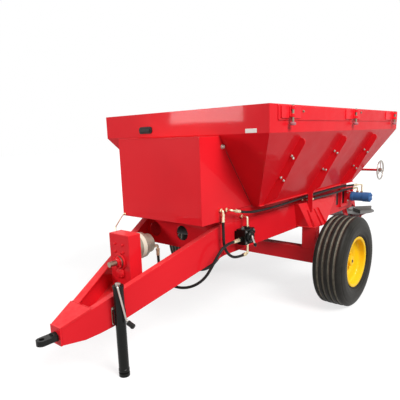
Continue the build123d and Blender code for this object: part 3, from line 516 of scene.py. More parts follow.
def bare_metal(name, colour, roughness, grain=(1, 1, 1), stain=0.25, stain_colour=STAIN):
    """Metal whose roughness follows a stretched grain, with a thin stain."""
    material, tree, shader = shader_of(name)
    shader.inputs["Metallic"].default_value = 1.0
    cloud = add_range(tree, add_noise(tree, 14.0, 6.0, 0.65), (0.0, stain), (0.45, 0.75))
    tree.links.new(add_mix(tree, cloud, colour, stain_colour), shader.inputs["Base Color"])
    fine = add_noise(tree, 160.0, 4.0, 0.6, grain)
    gloss = add_range(tree, fine, (roughness * 0.75, roughness * 1.3))
    tree.links.new(gloss, shader.inputs["Roughness"])
    add_bump(tree, shader, fine, 0.08, 0.0008)
    return material


bare_steel = bare_metal("bare_steel", (0.40, 0.39, 0.38), 0.38, (1, 1, 8))
shaft_steel = bare_metal("shaft_steel", (0.27, 0.23, 0.17), 0.42, (8, 1, 1), stain=0.5)
zinc_plate = bare_metal("zinc_plate", (0.50, 0.47, 0.43), 0.38, stain=0.3)
dark_steel = bare_metal("dark_steel", (0.17, 0.165, 0.16), 0.45, (1, 1, 8))
chrome_plate = bare_metal("chrome_plate", (0.80, 0.80, 0.80), 0.12, stain=0.04)
yellow_zinc = bare_metal("yellow_zinc", (0.78, 0.69, 0.48), 0.36, stain=0.18, stain_colour=YELLOW_STAIN)
cast_metal = bare_metal("cast_metal", (0.34, 0.31, 0.25), 0.55, stain=0.4)
print("materials so far:", len(bpy.data.materials))

# %% [markdown]
# ## Dust in the tread
#
# Rubber is dull and nearly black, and pale dust stays in a tyre's grooves.
# The dust could be painted on by hand. Here the shader works out each point's
# distance from the axle line: what lies deep in the tread is dusty, the ribs
# and the side walls stay dark, whatever way the wheel has turned.

# %% Rubber
def rubber(name, colour, roughness, dusty, bump_scale=90.0):
    """Dull rubber with a fine skin and a little dust in patches."""
    material, tree, shader = shader_of(name)
    cloud = add_noise(tree, 11.0, 6.0, 0.7)
    darker, paler = (tuple(c * share for c in colour) for share in (0.75, 1.35))
    base = add_ramp(tree, cloud, [(0.3, darker), (0.7, paler)])
    dust = add_math(tree, "MULTIPLY", add_range(tree, cloud, (0.2, 1.0), (0.35, 0.75)), dusty)
    tree.links.new(add_mix(tree, dust, base, (0.22, 0.20, 0.165)), shader.inputs["Base Color"])
    gloss = add_range(tree, cloud, (roughness * 0.85, min(1.0, roughness * 1.15)))
    tree.links.new(gloss, shader.inputs["Roughness"])
    shader.inputs["Specular IOR Level"].default_value = 0.12
    add_bump(tree, shader, add_noise(tree, bump_scale, 3.0), 0.2, 0.001)
    return material


belt_rubber = rubber("belt_rubber", (0.03, 0.03, 0.03), 0.7, 0.2)
hose_rubber = rubber("hose_rubber", (0.014, 0.012, 0.012), 0.36, 0.05, 220.0)
grip_rubber = rubber("grip_rubber", (0.012, 0.012, 0.011), 0.45, 0.03)
print("materials so far:", len(bpy.data.materials))

# %% Tyre rubber
HALF_TRACK, WHEEL_Z = 0.808, 0.380
GROOVE_R, RIB_R = 0.3665, 0.3745
TREAD_HALF, TREAD_FADE = 0.080, 0.006
TREAD_DUST = (0.33, 0.305, 0.235)
tyre_rubber = rubber("tyre_rubber", (0.013, 0.012, 0.010), 0.50, 0.05)
tree = tyre_rubber.node_tree
base_colour = tree.nodes["Principled BSDF"].inputs["Base Color"]
distance = add_distance(tree, (1, 0, 1), (-AXLE_X, 0, -WHEEL_Z))
deep = add_range(tree, distance, (1.0, 0.0), (GROOVE_R, RIB_R))
off_wall = add_range(tree, distance, (0.0, 1.0), (GROOVE_R - 0.006, GROOVE_R - 0.003))
split = tree.nodes.new("ShaderNodeSeparateXYZ")
tree.links.new(object_place(tree), split.inputs["Vector"])
to_side = add_math(tree, "ABSOLUTE", split.outputs["Y"])
to_middle = add_math(tree, "ABSOLUTE", add_math(tree, "SUBTRACT", to_side, HALF_TRACK))
off_shoulder = add_range(tree, to_middle, (1.0, 0.0), (TREAD_HALF, TREAD_HALF + TREAD_FADE))
amount = add_range(tree, add_noise(tree, 40.0, 4.0, 0.6), (0.45, 0.95), (0.3, 0.7))
for share in (deep, off_wall, off_shoulder):
    amount = add_math(tree, "MULTIPLY", amount, share)
tree.links.new(add_mix(tree, amount, base_colour.links[0].from_socket, TREAD_DUST), base_colour)
print("dust lies below", RIB_R, "m from the axle line")

# %% Finish of each solid
FINISHES = {
    "red_paint": red_paint, "rim_yellow": yellow_paint, "tyre_rubber": tyre_rubber,
    "motor_blue": blue_paint, "bare_steel": bare_steel, "pump_metal": cast_metal,
    "black_paint": black_paint, "bright_plating": chrome_plate, "belt_rubber": belt_rubber,
    "hose_rubber": hose_rubber, "brass_fittings": yellow_zinc,
}
OWN_FINISHES = {
    "pto_shaft": shaft_steel, "hand_wheel": zinc_plate,
    "spinner_disc_left": dark_steel, "spinner_disc_right": dark_steel,
}
for part in frame["record"]["subparts"]:
    name = part["node"]
    nodes[name].data.materials.clear()
    nodes[name].data.materials.append(OWN_FINISHES.get(name, FINISHES[part["material_slot"]]))
for piece in hoses:
    piece.data.materials.append(hose_rubber)

# %% [markdown]
# ## Rolled edges
#
# Folded and sheared plate never has a razor edge: the bend has a radius and
# the cut edge is ground. The solids could carry those roundings themselves,
# at the cost of many faces. A modifier rounds them here instead, and its
# narrow band catches the light as the thin pale line seen along the drawbar
# and the box.

# %% Edge rounding on the plates
PLATES = ["beam_left", "beam_right", "nose", "rail_left", "rail_right", "drive_post", "front_box"]
SAME_POINT, EDGE_WIDTH, FOLD_ANGLE = 0.00002, 0.005, 0.6
for name in PLATES:
    weld = nodes[name].modifiers.new("weld", "WELD")
    weld.merge_threshold = SAME_POINT
    bevel = nodes[name].modifiers.new("rounding", "BEVEL")
    bevel.width, bevel.segments = EDGE_WIDTH, 2
    bevel.limit_method, bevel.angle_limit = "ANGLE", FOLD_ANGLE
    bevel.harden_normals = True
print("plates with rounded edges:", len(PLATES))

# %% [markdown]
# ## Tyres
#
# The tyres are ribbed implement tyres: four round grooves, five plain ribs. A
# tyre could be a ring whose loops are pushed in by hand. Here its profile is
# a smooth crown with four soft steps taken out of it, turned about the axle,
# so that the grooves' depth and width stay three numbers.

# %% Tyre
CROWN_R, CROWN_HALF, CROWN_DROP = 0.380, 0.096, 0.0032
GROOVES = np.array([-0.068, -0.0235, 0.0235, 0.068])
GROOVE_DEEP, GROOVE_HALF, GROOVE_EASE = 0.011, 0.0095, 0.0010
TYRE_WALL = [  # place across from the tyre's middle, radius
    (0.096, 0.3768), (0.108, 0.367), (0.1175, 0.352), (0.1185, 0.346), (0.1245, 0.338), (0.1318, 0.303),
    (0.1295, 0.262), (0.1215, 0.240), (0.1225, 0.234), (0.112, 0.224), (0.105, 0.218), (0.105, 0.1975),
]
TYRE_LINER = [
    (0.085, 0.1975), (0.084, 0.216), (0.112, 0.262), (0.114, 0.305), (0.100, 0.340), (0.084, 0.355),
    (-0.084, 0.355), (-0.100, 0.340), (-0.114, 0.305), (-0.112, 0.262), (-0.084, 0.216), (-0.085, 0.1975),
]


def on_axle(profile, s, around, ring=True):
    """Turned patch about the axle; a profile's rows are (place outward from the wheel's middle, radius)."""
    return turned(profile, at_axle([0, s * HALF_TRACK, WHEEL_Z]), (0, s, 0), (s, 0, 0), around, ring)


def tyre_profile(steps=150):
    """Crown r = CROWN_R - CROWN_DROP*(a/CROWN_HALF)^2 less four grooves, and walls with eased corners.

    A groove at g takes away GROOVE_DEEP / (1 + exp((|a - g| - GROOVE_HALF) / GROOVE_EASE)).
    """
    a = np.linspace(-CROWN_HALF, CROWN_HALF, steps)
    step = (np.abs(a[:, None] - GROOVES) - GROOVE_HALF) / GROOVE_EASE
    drop = (GROOVE_DEEP / (1 + np.exp(step))).sum(1)
    crown = np.stack([a, CROWN_R - CROWN_DROP * (a / CROWN_HALF) ** 2 - drop], -1)
    wall = eased(TYRE_WALL, 0.006, 5, closed=False)[1:]
    return np.concatenate([(wall * (-1, 1))[::-1], crown, wall, TYRE_LINER])


for side, s in SIDES.items():
    patch = on_axle(tyre_profile(), s, 160)
    tyre = make_piece(f"ribbed_tyre_{side}", [patch], f"wheel_{side}", tyre_rubber, 60)
    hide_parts(f"tyre_{side}")
print("tyre faces:", len(tyre.data.polygons))

# %% [markdown]
# ## Wheels
#
# The wheel is one pressed dish: its flange curls round the bead, its wall
# runs in, and the disc comes back to the hub in a cone. A press would draw it
# from one sheet. One closed profile, as thick as that sheet and turned about
# the axle, gives just this form. Nuts and a cap are then set on its face.

# %% Pressed wheel
DISH = [  # place across from the wheel's middle, radius
    (-0.112, 0.205), (-0.112, 0.213), (-0.106, 0.213), (-0.105, 0.1965), (0.105, 0.1965), (0.106, 0.213),
    (0.112, 0.213), (0.1125, 0.200), (0.108, 0.188), (0.070, 0.184), (0.056, 0.176), (0.050, 0.150),
    (0.044, 0.118), (0.028, 0.094), (0.026, 0.0565), (0.0205, 0.0565), (0.0205, 0.098), (0.037, 0.122),
    (0.043, 0.152), (0.048, 0.180), (0.040, 0.189), (-0.100, 0.189), (-0.108, 0.192),
]
HUB_CAP = [(0.0738, 0.0005), (0.0738, 0.012), (0.0752, 0.0135), (0.0765, 0.010), (0.077, 0.0005)]
STUDS, STUD_CIRCLE, STUD_FACE = 6, 0.074, 0.0262
for side, s in SIDES.items():
    body = f"wheel_{side}"
    patch = on_axle(eased(DISH, 0.006, 5), s, 120)
    dish = make_piece(f"pressed_wheel_{side}", [patch], body, yellow_paint, 50)
    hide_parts(f"rim_{side}")
    face = at_axle([0, s * (HALF_TRACK + STUD_FACE), WHEEL_Z])
    studs = nuts(ring_of(STUDS, STUD_CIRCLE, face, AHEAD, UP, 0.3), (0, s, 0), 0.022)
    make_piece(f"wheel_nuts_{side}", [studs], body, yellow_paint, 30)
    cap = on_axle(HUB_CAP, s, 32, ring=False)
    make_piece(f"hub_cap_{side}", [cap], body, black_paint)
print("nuts a wheel:", STUDS)

# %% [markdown]
# ## Hose ends
#
# Each hose ends in a ferrule: a steel sleeve squeezed on the rubber in a few
# rings, with a hexagon nut and a bent pipe behind it, all yellow with zinc
# plating. Each could be built on its own. They all follow one pattern, so a
# table of corner points and one loop make the nine of them: round sections
# carried along eased corners, and short turned profiles for nuts and sleeves.

# %% Corners of the hose ends
HOSE_ENDS = {  # corner points from the fitting to the rubber, and which of them ends the pipe
    "valve_side": ([(1.028, 0.455, 0.722), (1.050, 0.455, 0.722), (1.100, 0.455, 0.722)], 1),
    "valve_low": (
        [(0.925, 0.455, 0.682), (0.925, 0.455, 0.600), (0.950, 0.455, 0.600), (0.988, 0.455, 0.600)], 2),
    "valve_high": ([(0.925, 0.455, 0.792), (0.925, 0.455, 0.872), (0.925, 0.395, 0.872)], 2),
    "box_down": (
        [(1.172, 0.398, 0.952), (1.172, 0.425, 0.952), (1.172, 0.425, 0.928), (1.172, 0.425, 0.872)], 2),
    "box_back": (
        [(1.110, 0.398, 0.948), (1.110, 0.450, 0.948), (1.060, 0.450, 0.936), (1.010, 0.450, 0.924)], 2),
    "motor_far": (
        [(-1.04, 0.565, 0.816), (-1.04, 0.565, 0.900), (-0.985, 0.5313, 0.900), (-0.946, 0.5074, 0.900)], 2),
    "motor_near": (
        [(-1.04, 0.520, 0.816), (-1.04, 0.520, 0.866), (-0.990, 0.508, 0.866), (-0.945, 0.4972, 0.866)], 2),
    "rail_port": (
        [(-0.025, 0.395, 0.866), (-0.025, 0.466, 0.866), (-0.055, 0.466, 0.866), (-0.098, 0.466, 0.866)], 2),
    "pump_port": (
        [(1.480, 0.050, 0.717), (1.440, 0.050, 0.717), (1.440, 0.050, 0.690), (1.440, 0.050, 0.642)], 2),
}
print("corners a hose end:", {name: len(route) for name, (route, _) in HOSE_ENDS.items()})

# %% Hose ends
PIPE_R, PIPE_BEND = 0.0082, 0.014
HEXAGON = [(0, 0.0125), (0.12, 0.0148), (0.88, 0.0148), (1, 0.0125)]
SLEEVE_R, SQUEEZE, SLEEVE_LIP = 0.0128, 0.0012, 0.0025


def hexagon(spot, run, start, end):
    """Six-sided nut on a run from a spot, between two distances along it."""
    return lathe_run(HEXAGON, spot + start * run, spot + end * run, 6)


def ferrule(start, end):
    """Sleeve of radius SLEEVE_R, less SQUEEZE in rings where cos(8*pi*s) > 0.35, and a turned-in lip."""
    s = np.linspace(0, 1, 40)
    radius = SLEEVE_R - SQUEEZE * (np.cos(8 * np.pi * s) > 0.35) - SLEEVE_LIP * (s > 0.97)
    return lathe_run(np.stack([s, radius], -1), start, end)


def hose_end(route, last):
    """Bent pipe with a nut at each end, and a ferrule where the route goes on past the pipe."""
    route = at_axle(route)
    first, run = unit(route[1] - route[0]), unit(route[-1] - route[-2])
    pipe = eased(route[: last + 1], PIPE_BEND, 7, closed=False)
    patches = [carried(round_section(PIPE_R, 12), pipe, (0.37, 0.21, 0.9))]
    patches.append(hexagon(route[0], first, 0.0005, 0.016))
    if last == len(route) - 1:
        return patches + [hexagon(route[-1], run, -0.0165, -0.0005)]
    sleeve = ferrule(route[last] + 0.012 * run, route[-1])
    return patches + [hexagon(route[last], run, -0.002, 0.011), sleeve]


patches = [patch for route, last in HOSE_ENDS.values() for patch in hose_end(route, last)]
ends = make_piece("hose_ends", patches, "chassis", yellow_zinc, 35)
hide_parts("hose_fittings")
print("hose ends:", len(HOSE_ENDS), "faces:", len(ends.data.polygons))

# %% [markdown]
# ## Control valve
#
# The black cast valve stands off the rail on a bracket. A casting with many
# small steps could be sculpted as one mesh. Its block, spool cap and side
# knob are plain solids already, so it only gets what a fitter screws on:
# plugs, tie bolts, turned caps and a short plated lever.

# %% Valve plugs and lever
VALVE_Y = 0.455
LEVER = [
    (0.960, 0.512, 0.730), (0.960, 0.530, 0.738), (0.990, 0.536, 0.756), (0.978, 0.541, 0.722),
    (0.968, 0.545, 0.698),
]
plugs = nuts(at_axle([(0.985, VALVE_Y, 0.7922)]), UP, 0.022)
ties = nuts(at_axle([(x, 0.4912, z) for x in (0.900, 0.996) for z in (0.697, 0.777)]), LEFT, 0.013)
make_piece("valve_plugs", [plugs, ties], "chassis", dark_steel, 30)
lever = carried(round_section(0.0062, 12), eased(at_axle(LEVER), 0.014, 7, closed=False), (0.2, 1, 0.1))
make_piece("valve_lever", [lever], "chassis", zinc_plate)
print("lever corners:", len(LEVER))

# %% Valve caps
KNOB = [(0, 0.004), (0.06, 0.008), (0.3, 0.0115), (0.65, 0.0115), (0.92, 0.007), (1, 0.002)]
SPOOL = [(0, 0.026), (0.1, 0.028), (0.35, 0.028), (0.45, 0.0225), (0.9, 0.0225), (1, 0.019)]
BOSS = [(0, 0.041), (0.15, 0.043), (0.55, 0.041), (0.75, 0.033), (1, 0.030)]
VALVE_CAPS = [  # rows, start, end, points round
    (KNOB, (0.9684, 0.5447, 0.702), (0.9600, 0.5485, 0.672), 20),
    (SPOOL, (0.889, VALVE_Y, 0.752), (0.852, VALVE_Y, 0.752), 28),
    (SPOOL, (0.940, VALVE_Y, 0.7915), (0.940, VALVE_Y, 0.8055), 24),
    (BOSS, (0.948, 0.4905, 0.737), (0.948, 0.512, 0.737), 32),
]
caps = [lathe_run(rows, *at_axle([start, end]), around) for rows, start, end, around in VALVE_CAPS]
make_piece("valve_caps", caps, "chassis", black_paint)
print("valve caps:", len(caps))

# %% [markdown]
# ## The hopper's rim
#
# A folded strip stiffens the upper half of each side. Three cover clamps sit
# on it: a bright red plate, a dark upright pin through two eyes, and a pale
# pink-grey foot. The front carries a black oblong grip and a small blank plate.
# Cubes with a bevel modifier would do for the plates. Slabs with an eased
# outline need no modifier, and one loop over the clamps sets them all out.

# %% Strips along the sides
BAND_Y, STRIP_THICK, PLATE_THICK, KEEPER_THICK = 0.783, 0.005, 0.007, 0.009
STRIP_X, STRIP_Z = (-1.318, 1.070), (1.531, 1.6255)
STRIP_BOLTS = [(0.748, 1.590), (-0.300, 1.601)]  # X, Z


def side_slab(s, x0, x1, z0, z1, y, thick, corner, edge=0.0012):
    """Upright plate on the left (s=1) or right (s=-1), standing out from y."""
    outline = oblong(-s * x0, -s * x1, z0, z1, corner)
    return slab(outline, thick, at_axle((0, s * y, 0)), (-s, 0, 0), UP, edge)


for side, s in SIDES.items():
    strip = side_slab(s, *STRIP_X, *STRIP_Z, BAND_Y, STRIP_THICK, 0.010, 0.003)
    make_piece(f"rim_strip_{side}", [strip], "chassis", red_paint, 30)
    spots = at_axle([(x, s * (BAND_Y + STRIP_THICK + CLEAR), z) for x, z in STRIP_BOLTS])
    bolts = nuts(spots, (0, s, 0), 0.013)
    make_piece(f"strip_bolts_{side}", [bolts], "chassis", shaft_steel, 30)
print("strips stand out", STRIP_THICK, "m")

# %% Cover clamps
CLAMPS = [  # rear end, front end, pin
    (0.790, 1.040, 0.930), (-0.270, 0.030, -0.134), (-1.300, -0.945, -1.165),
]
PLATE_Z, KEEPER_Z, KEEPER_HALF = (1.545, 1.6235), (1.552, 1.6205), 0.020
PIN_Y, PIN_Z, FOOT_Z = 0.811, (1.520, 1.6285), (1.499, 1.5215)
EYE_FEET, EYE_TALL = (1.550, 1.598), 0.022
EYE = [(0, 0.013), (0.08, 0.0155), (0.92, 0.0155), (1, 0.013)]
PIN = [(0, 0.006), (0.02, 0.0085), (0.97, 0.0085), (1, 0.005)]
FOOT = [(0, 0.012), (0.1, 0.019), (0.55, 0.021), (0.8, 0.018), (1, 0.009)]


def upright(rows, s, x, low, high, around=20):
    """Turned patch on a clamp's upright line, between two heights."""
    return lathe_run(rows, *at_axle([(x, s * PIN_Y, low), (x, s * PIN_Y, high)]), around)


plate_y = BAND_Y + STRIP_THICK
keeper_y = plate_y + PLATE_THICK
for side, s in SIDES.items():
    plates = [side_slab(s, a, b, *PLATE_Z, plate_y, PLATE_THICK, 0.008) for a, b, _ in CLAMPS]
    keepers = [
        side_slab(s, x - KEEPER_HALF, x + KEEPER_HALF, *KEEPER_Z, keeper_y, KEEPER_THICK, 0.005)
        for *_, x in CLAMPS
    ]
    eyes = [upright(EYE, s, x, z, z + EYE_TALL) for *_, x in CLAMPS for z in EYE_FEET]
    make_piece(f"clamp_plates_{side}", plates + keepers + eyes, "chassis", bright_red, 35)
    pins = [upright(PIN, s, x, *PIN_Z) for *_, x in CLAMPS]
    make_piece(f"clamp_pins_{side}", pins, "chassis", shaft_steel)
    # the feet are in a pale pink-grey red
    feet = [upright(FOOT, s, x, *FOOT_Z, 24) for *_, x in CLAMPS]
    make_piece(f"clamp_feet_{side}", feet, "chassis", pink_grey_red)
print("clamps a side:", len(CLAMPS))

# %% Front grip and plate
BAND_X, GRIP_THICK, PAD_THICK = 1.165, 0.008, 0.006
GRIP_YZ, PAD_YZ = (-0.376, -0.234, 1.482, 1.534), (-0.362, -0.248, 1.494, 1.522)
BLANK_YZ = (0.609, 0.694, 1.461, 1.487)


def front_slab(x, outline, thick, edge):
    """Plate on the hopper's front band; its outline's columns are Y and Z."""
    return slab(outline, thick, at_axle((x, 0, 0)), LEFT, UP, edge)


grip = [
    front_slab(BAND_X, oblong(*GRIP_YZ, 0.024, 7), GRIP_THICK, 0.002),
    front_slab(BAND_X + GRIP_THICK, oblong(*PAD_YZ, 0.013, 7), PAD_THICK, 0.0025),
]
make_piece("front_grip", grip, "chassis", grip_rubber)
plate = front_slab(BAND_X, oblong(*BLANK_YZ, 0.003), 0.002, 0.0005)
make_piece("blank_plate", [plate], "chassis", white_paint, 30)
print("grip stands out", GRIP_THICK + PAD_THICK, "m")

# %% [markdown]
# ## Bolts, welds and stiffeners of the hopper
#
# The ribs are bolted in pairs near their tops and their feet, each bolt with
# its head on the front face and its nut on the back one. Plates meet in weld
# beads. Bolts and beads could be a bump in the paint. As real small shapes
# they throw the tiny shadows that make sheet metal look bolted and welded.

# %% Rib and box bolts
RIB_BOLTS = {  # place of the rib along X: pairs of Y and Z
    0.720: [(0.687, 1.301), (0.708, 1.279), (0.612, 1.141), (0.634, 1.122)],
    0.000: [(0.689, 1.301), (0.722, 1.279), (0.585, 1.156), (0.628, 1.139)],
    -0.720: [(0.671, 1.283), (0.716, 1.250), (0.562, 1.137), (0.617, 1.096)],
}
RIB_FACE, HEAD_CLEAR = (0.004 + CLEAR, 0, 0), 0.0135
SIDE_LEAN, BAND_FOOT_Z = 0.62, 1.457
WALL_OUT, WALL_SPOT = unit((0, 1, -SIDE_LEAN)), (0, BAND_Y, BAND_FOOT_Z)
spots = np.array([(x, y, z) for x, pairs in RIB_BOLTS.items() for y, z in pairs])
short = HEAD_CLEAR - (spots - WALL_SPOT) @ WALL_OUT
spots = spots + np.maximum(0, short)[:, None] * WALL_OUT
for side, s in SIDES.items():
    heads = spots * (1, s, 1)
    front = nuts(at_axle(heads + RIB_FACE), AHEAD, 0.014)
    back = nuts(at_axle(heads - RIB_FACE), (-1, 0, 0), 0.014)
    make_piece(f"rib_bolts_{side}", [front, back], "chassis", zinc_plate, 30)
heads = nuts(at_axle([(1.130, s * 0.3983, 1.378) for s in (1, -1)]), [LEFT, (0, -1, 0)], 0.024)
make_piece("box_bolts", [heads], "chassis", zinc_plate, 30)
print("rib bolts a side:", len(spots))

# %% Weld beads
BEAM_FRONT, BEAM_LENGTH, BEAM_SHARE = 2.234, 1.101, 1.03
BEAM_LOW, BEAM_TOP = (0.205, 0.415), (0.387, 0.461)  # height in front, and its rise to the rear
BEAM_Y = (0.051, 0.344)  # the outer face in front, and how far it spreads to the rear


def beam_top(x):
    """Point on a beam's outer face, just above its top edge: at BEAM_SHARE of its height there."""
    back = (BEAM_FRONT - x) / BEAM_LENGTH
    low, top, y = (first + back * more for first, more in (BEAM_LOW, BEAM_TOP, BEAM_Y))
    return (x, y, low + BEAM_SHARE * (top - low))


SEAMS = [  # start, end, radius; one on each side
    ((1.106, 0.400, 1.372), (0.784, 0.400, 0.934), 0.0030),
    ((1.158, 0.398, 1.4495), (1.360, 0.398, 1.4495), 0.0016),
    ((2.0585, 0.008, 0.4708), (2.0585, 0.100, 0.4708), 0.0035),
    (beam_top(2.232), beam_top(2.062), 0.0028),
    ((1.6345, 0.0985, 0.438), (1.7375, 0.0985, 0.4005), 0.004),
    ((0.051, 0.444, 0.449), (0.051, 0.564, 0.449), 0.0035),
    ((0.112, 0.397, 0.838), (-0.05, 0.397, 0.838), 0.0030),
]
CROSS_SEAMS = [  # X, half length, Z, radius; from side to side
    (1.7385, 0.096, 0.401, 0.004), (1.362, 0.396, 1.4485, 0.0016),
]
seams = []
for s in (1, -1):
    upright_seam = at_axle([(1.134, s * 0.396, 0.626), (1.134, s * 0.396, 0.846)])
    seams.append(bead(*upright_seam, 0.0035, up=(1, 0.2, 0.1)))
    seams += [bead(*at_axle(np.array(run) * (1, s, 1)), radius) for *run, radius in SEAMS]
seams += [bead(*at_axle([(x, -half, z), (x, half, z)]), radius) for x, half, z, radius in CROSS_SEAMS]
make_piece("weld_beads", seams, "chassis", red_paint, 60)
# Painted shadow: a thin black bead on each side of the box, where the gap between the box's flange and the
# hopper's wall lies in shade.
gap_shadow_runs = [at_axle([(1.101, s * 0.399, 1.362), (0.781, s * 0.399, 0.927)]) for s in (1, -1)]
patches = [bead(*run, 0.0022, pitch=0.5) for run in gap_shadow_runs]
make_piece("box_gap_shadow", patches, "chassis", black_paint, 60)
print("weld beads:", len(seams))

# %% Saddle stiffeners
SADDLE_LOW, SADDLE_HIGH, WEB_TOP, WEB_THICK = 0.640, 0.846, 0.796, 0.006
WEBS = [  # place along X, saddle's Y at its low edge and at its high edge
    (0.034, 0.532, 0.452), (-0.052, 0.565, 0.472), (-0.134, 0.565, 0.465),
]
LIP = [
    (0.068, 0.400, 0.6405), (0.068, 0.5215, 0.6405), (-0.050, 0.5665, 0.6405), (-0.141, 0.5665, 0.6405),
    (-0.143, 0.400, 0.6405),
]


def web(s, x, low, high):
    """Upright stiffener whose outline follows the saddle's slope from low to high."""
    top = low + (high - low) * (WEB_TOP - SADDLE_LOW) / (SADDLE_HIGH - SADDLE_LOW)
    outline = [
        (low - 0.014, 0.642), (low + 0.020, 0.642), (low + 0.022, 0.656), (top + 0.020, 0.786),
        (top - 0.014, WEB_TOP),
    ]
    return slab(outline, WEB_THICK, at_axle((x - s * WEB_THICK / 2, 0, 0)), (0, s, 0), UP)


for side, s in SIDES.items():
    edge = eased(np.array(LIP) * (1, s, 1), 0.008, 4, closed=False)
    lip = carried(round_section(0.0045), at_axle(edge), (0.02, 0.03, 1))
    webs = [web(s, *row) for row in WEBS]
    make_piece(f"saddle_webs_{side}", webs + [lip], "chassis", red_paint, 35)
print("saddle webs a side:", len(WEBS))

# %% Dark sheets behind the rails' windows: painted shade
# Painted shade: thin dark steel sheets stand behind the rails' windows so that the space behind them looks
# dark.
SHADE_SHEETS = [(-1.155, -0.895), (-0.861, -0.789)]  # rear end, front end
SHADE_SHEET_Y, SHADE_SHEET_Z, SHADE_SHEET_THICK = 0.3842, (0.692, 0.842), 0.002
for side, s in SIDES.items():
    plates = [
        slab(oblong(-s * rear, -s * front, *SHADE_SHEET_Z, 0.004, 3), SHADE_SHEET_THICK,
             at_axle((0, s * SHADE_SHEET_Y, 0)), (-s, 0, 0), UP, 0.0005)
        for rear, front in SHADE_SHEETS
    ]
    make_piece(f"window_shade_sheet_{side}", plates, "chassis", dark_steel, 30)
print("shade_sheets a side:", len(SHADE_SHEETS))

# %% [markdown]
# ## Drive post and pump
#
# The input shaft turns in a flanged bearing on the post's front face, with a
# second, blind bearing under it and four cover bolts above. The pump hangs on
# the back. Cylinders set inside each other could stand for them. One turned
# profile a bearing keeps every shoulder and chamfer in a single surface.

# %% Bearings on the post
POST_X, SHAFT_Z, LOW_Z = 1.737, 0.662, 0.586
FLANGE_FACE, LOW_FACE = 0.0222, 0.014
LOW_BEARING = [(0, 0.034), (0.004, 0.036), (0.012, 0.036), (0.016, 0.030), (0.022, 0.024), (0.024, 0.010)]
COLLAR = [
    (0.0215, 0.0185), (0.0215, 0.030), (0.028, 0.030), (0.032, 0.026), (0.036, 0.0265), (0.038, 0.022),
    (0.038, 0.0178),
]
FLANGE = [(0, 0.053), (0.002, 0.055), (0.009, 0.055), (0.012, 0.052), (0.012, 0.0425), (0, 0.0425)]
SHAFT_FACE = [(0, 0.042), (0.002, 0.042), (0.002, 0.0178), (0, 0.0178)]


def on_post(rows, out, z, around, ring=True):
    """Turned patch that stands out from the post's front face, at a height."""
    return turned(rows, at_axle((POST_X + out, 0, z)), AHEAD, LEFT, around, ring)


def post_nuts(count, radius, out, z, phase, across):
    """Nuts in a circle on the post's front, a distance out from its face."""
    return nuts(ring_of(count, radius, at_axle((POST_X + out, 0, z)), LEFT, UP, phase), AHEAD, across)


bearings = [
    on_post(LOW_BEARING, 0, LOW_Z, 40, ring=False),
    on_post(COLLAR, 0, SHAFT_Z, 40),
    on_post(FLANGE, 0, SHAFT_Z, 48),
]
make_piece("post_bearings", bearings, "chassis", red_paint, 35)
covers = at_axle([(POST_X, y, z) for y in (-0.04, 0.035) for z in (0.727, 0.779)])
bolts = [
    post_nuts(6, 0.036, FLANGE_FACE, SHAFT_Z, 0.4, 0.012),
    post_nuts(4, 0.0285, LOW_FACE, LOW_Z, 0.8, 0.010),
    nuts(covers, AHEAD, 0.014),
]
make_piece("post_bolts", bolts, "chassis", red_paint, 30)
face = on_post(SHAFT_FACE, FLANGE_FACE, SHAFT_Z, 48)
make_piece("shaft_flange_face", [face], "chassis", red_paint, 35)
print("post bolts:", 6 + 4 + len(covers))

# %% Pump
PUMP_X, PUMP_BACK, PUMP_Z = 1.635, 1.5428, 0.735
PUMP_BAND = [(0.0335, 0.0883), (0.034, 0.0905), (0.066, 0.0905), (0.0665, 0.0883)]
band = turned(PUMP_BAND, at_axle((PUMP_X, 0, PUMP_Z)), (-1, 0, 0), (0, -1, 0), 64, ring=True)
make_piece("pump_ring", [band], "chassis", cream_paint, 35)
spots = ring_of(8, 0.0805, at_axle((PUMP_BACK, 0, PUMP_Z)), LEFT, UP, 0.2)
make_piece("pump_bolts", [nuts(spots, (-1, 0, 0), 0.011)], "chassis", zinc_plate, 30)
print("pump bolts:", len(spots))

# %% Thin pipe from the post to the box
THIN_PIPE = [
    (1.662, -0.0985, 0.822), (1.662, -0.124, 0.822), (1.652, -0.134, 0.862), (1.500, -0.271, 0.875),
    (1.392, -0.372, 0.880), (1.3635, -0.380, 0.884),
]
thin = carried(round_section(0.0045), eased(at_axle(THIN_PIPE), 0.022, 7, closed=False), (0.1, 0.2, 1))
unions = nuts(at_axle([THIN_PIPE[0], THIN_PIPE[-1]]), [(0, -1, 0), AHEAD], 0.015)
make_piece("thin_pipe", [thin, unions], "chassis", yellow_zinc, 35)
print("thin pipe corners:", len(THIN_PIPE))

# %% [markdown]
# ## Parking jack
#
# The jack's crank is a bent plated rod with a moulded rubber grip. Its black
# tube has a collar at each end and turns on a bolted plate. The crank could
# be a bevelled curve. A section carried along eased corners has its own end
# faces and needs no conversion before it is joined with its cap.

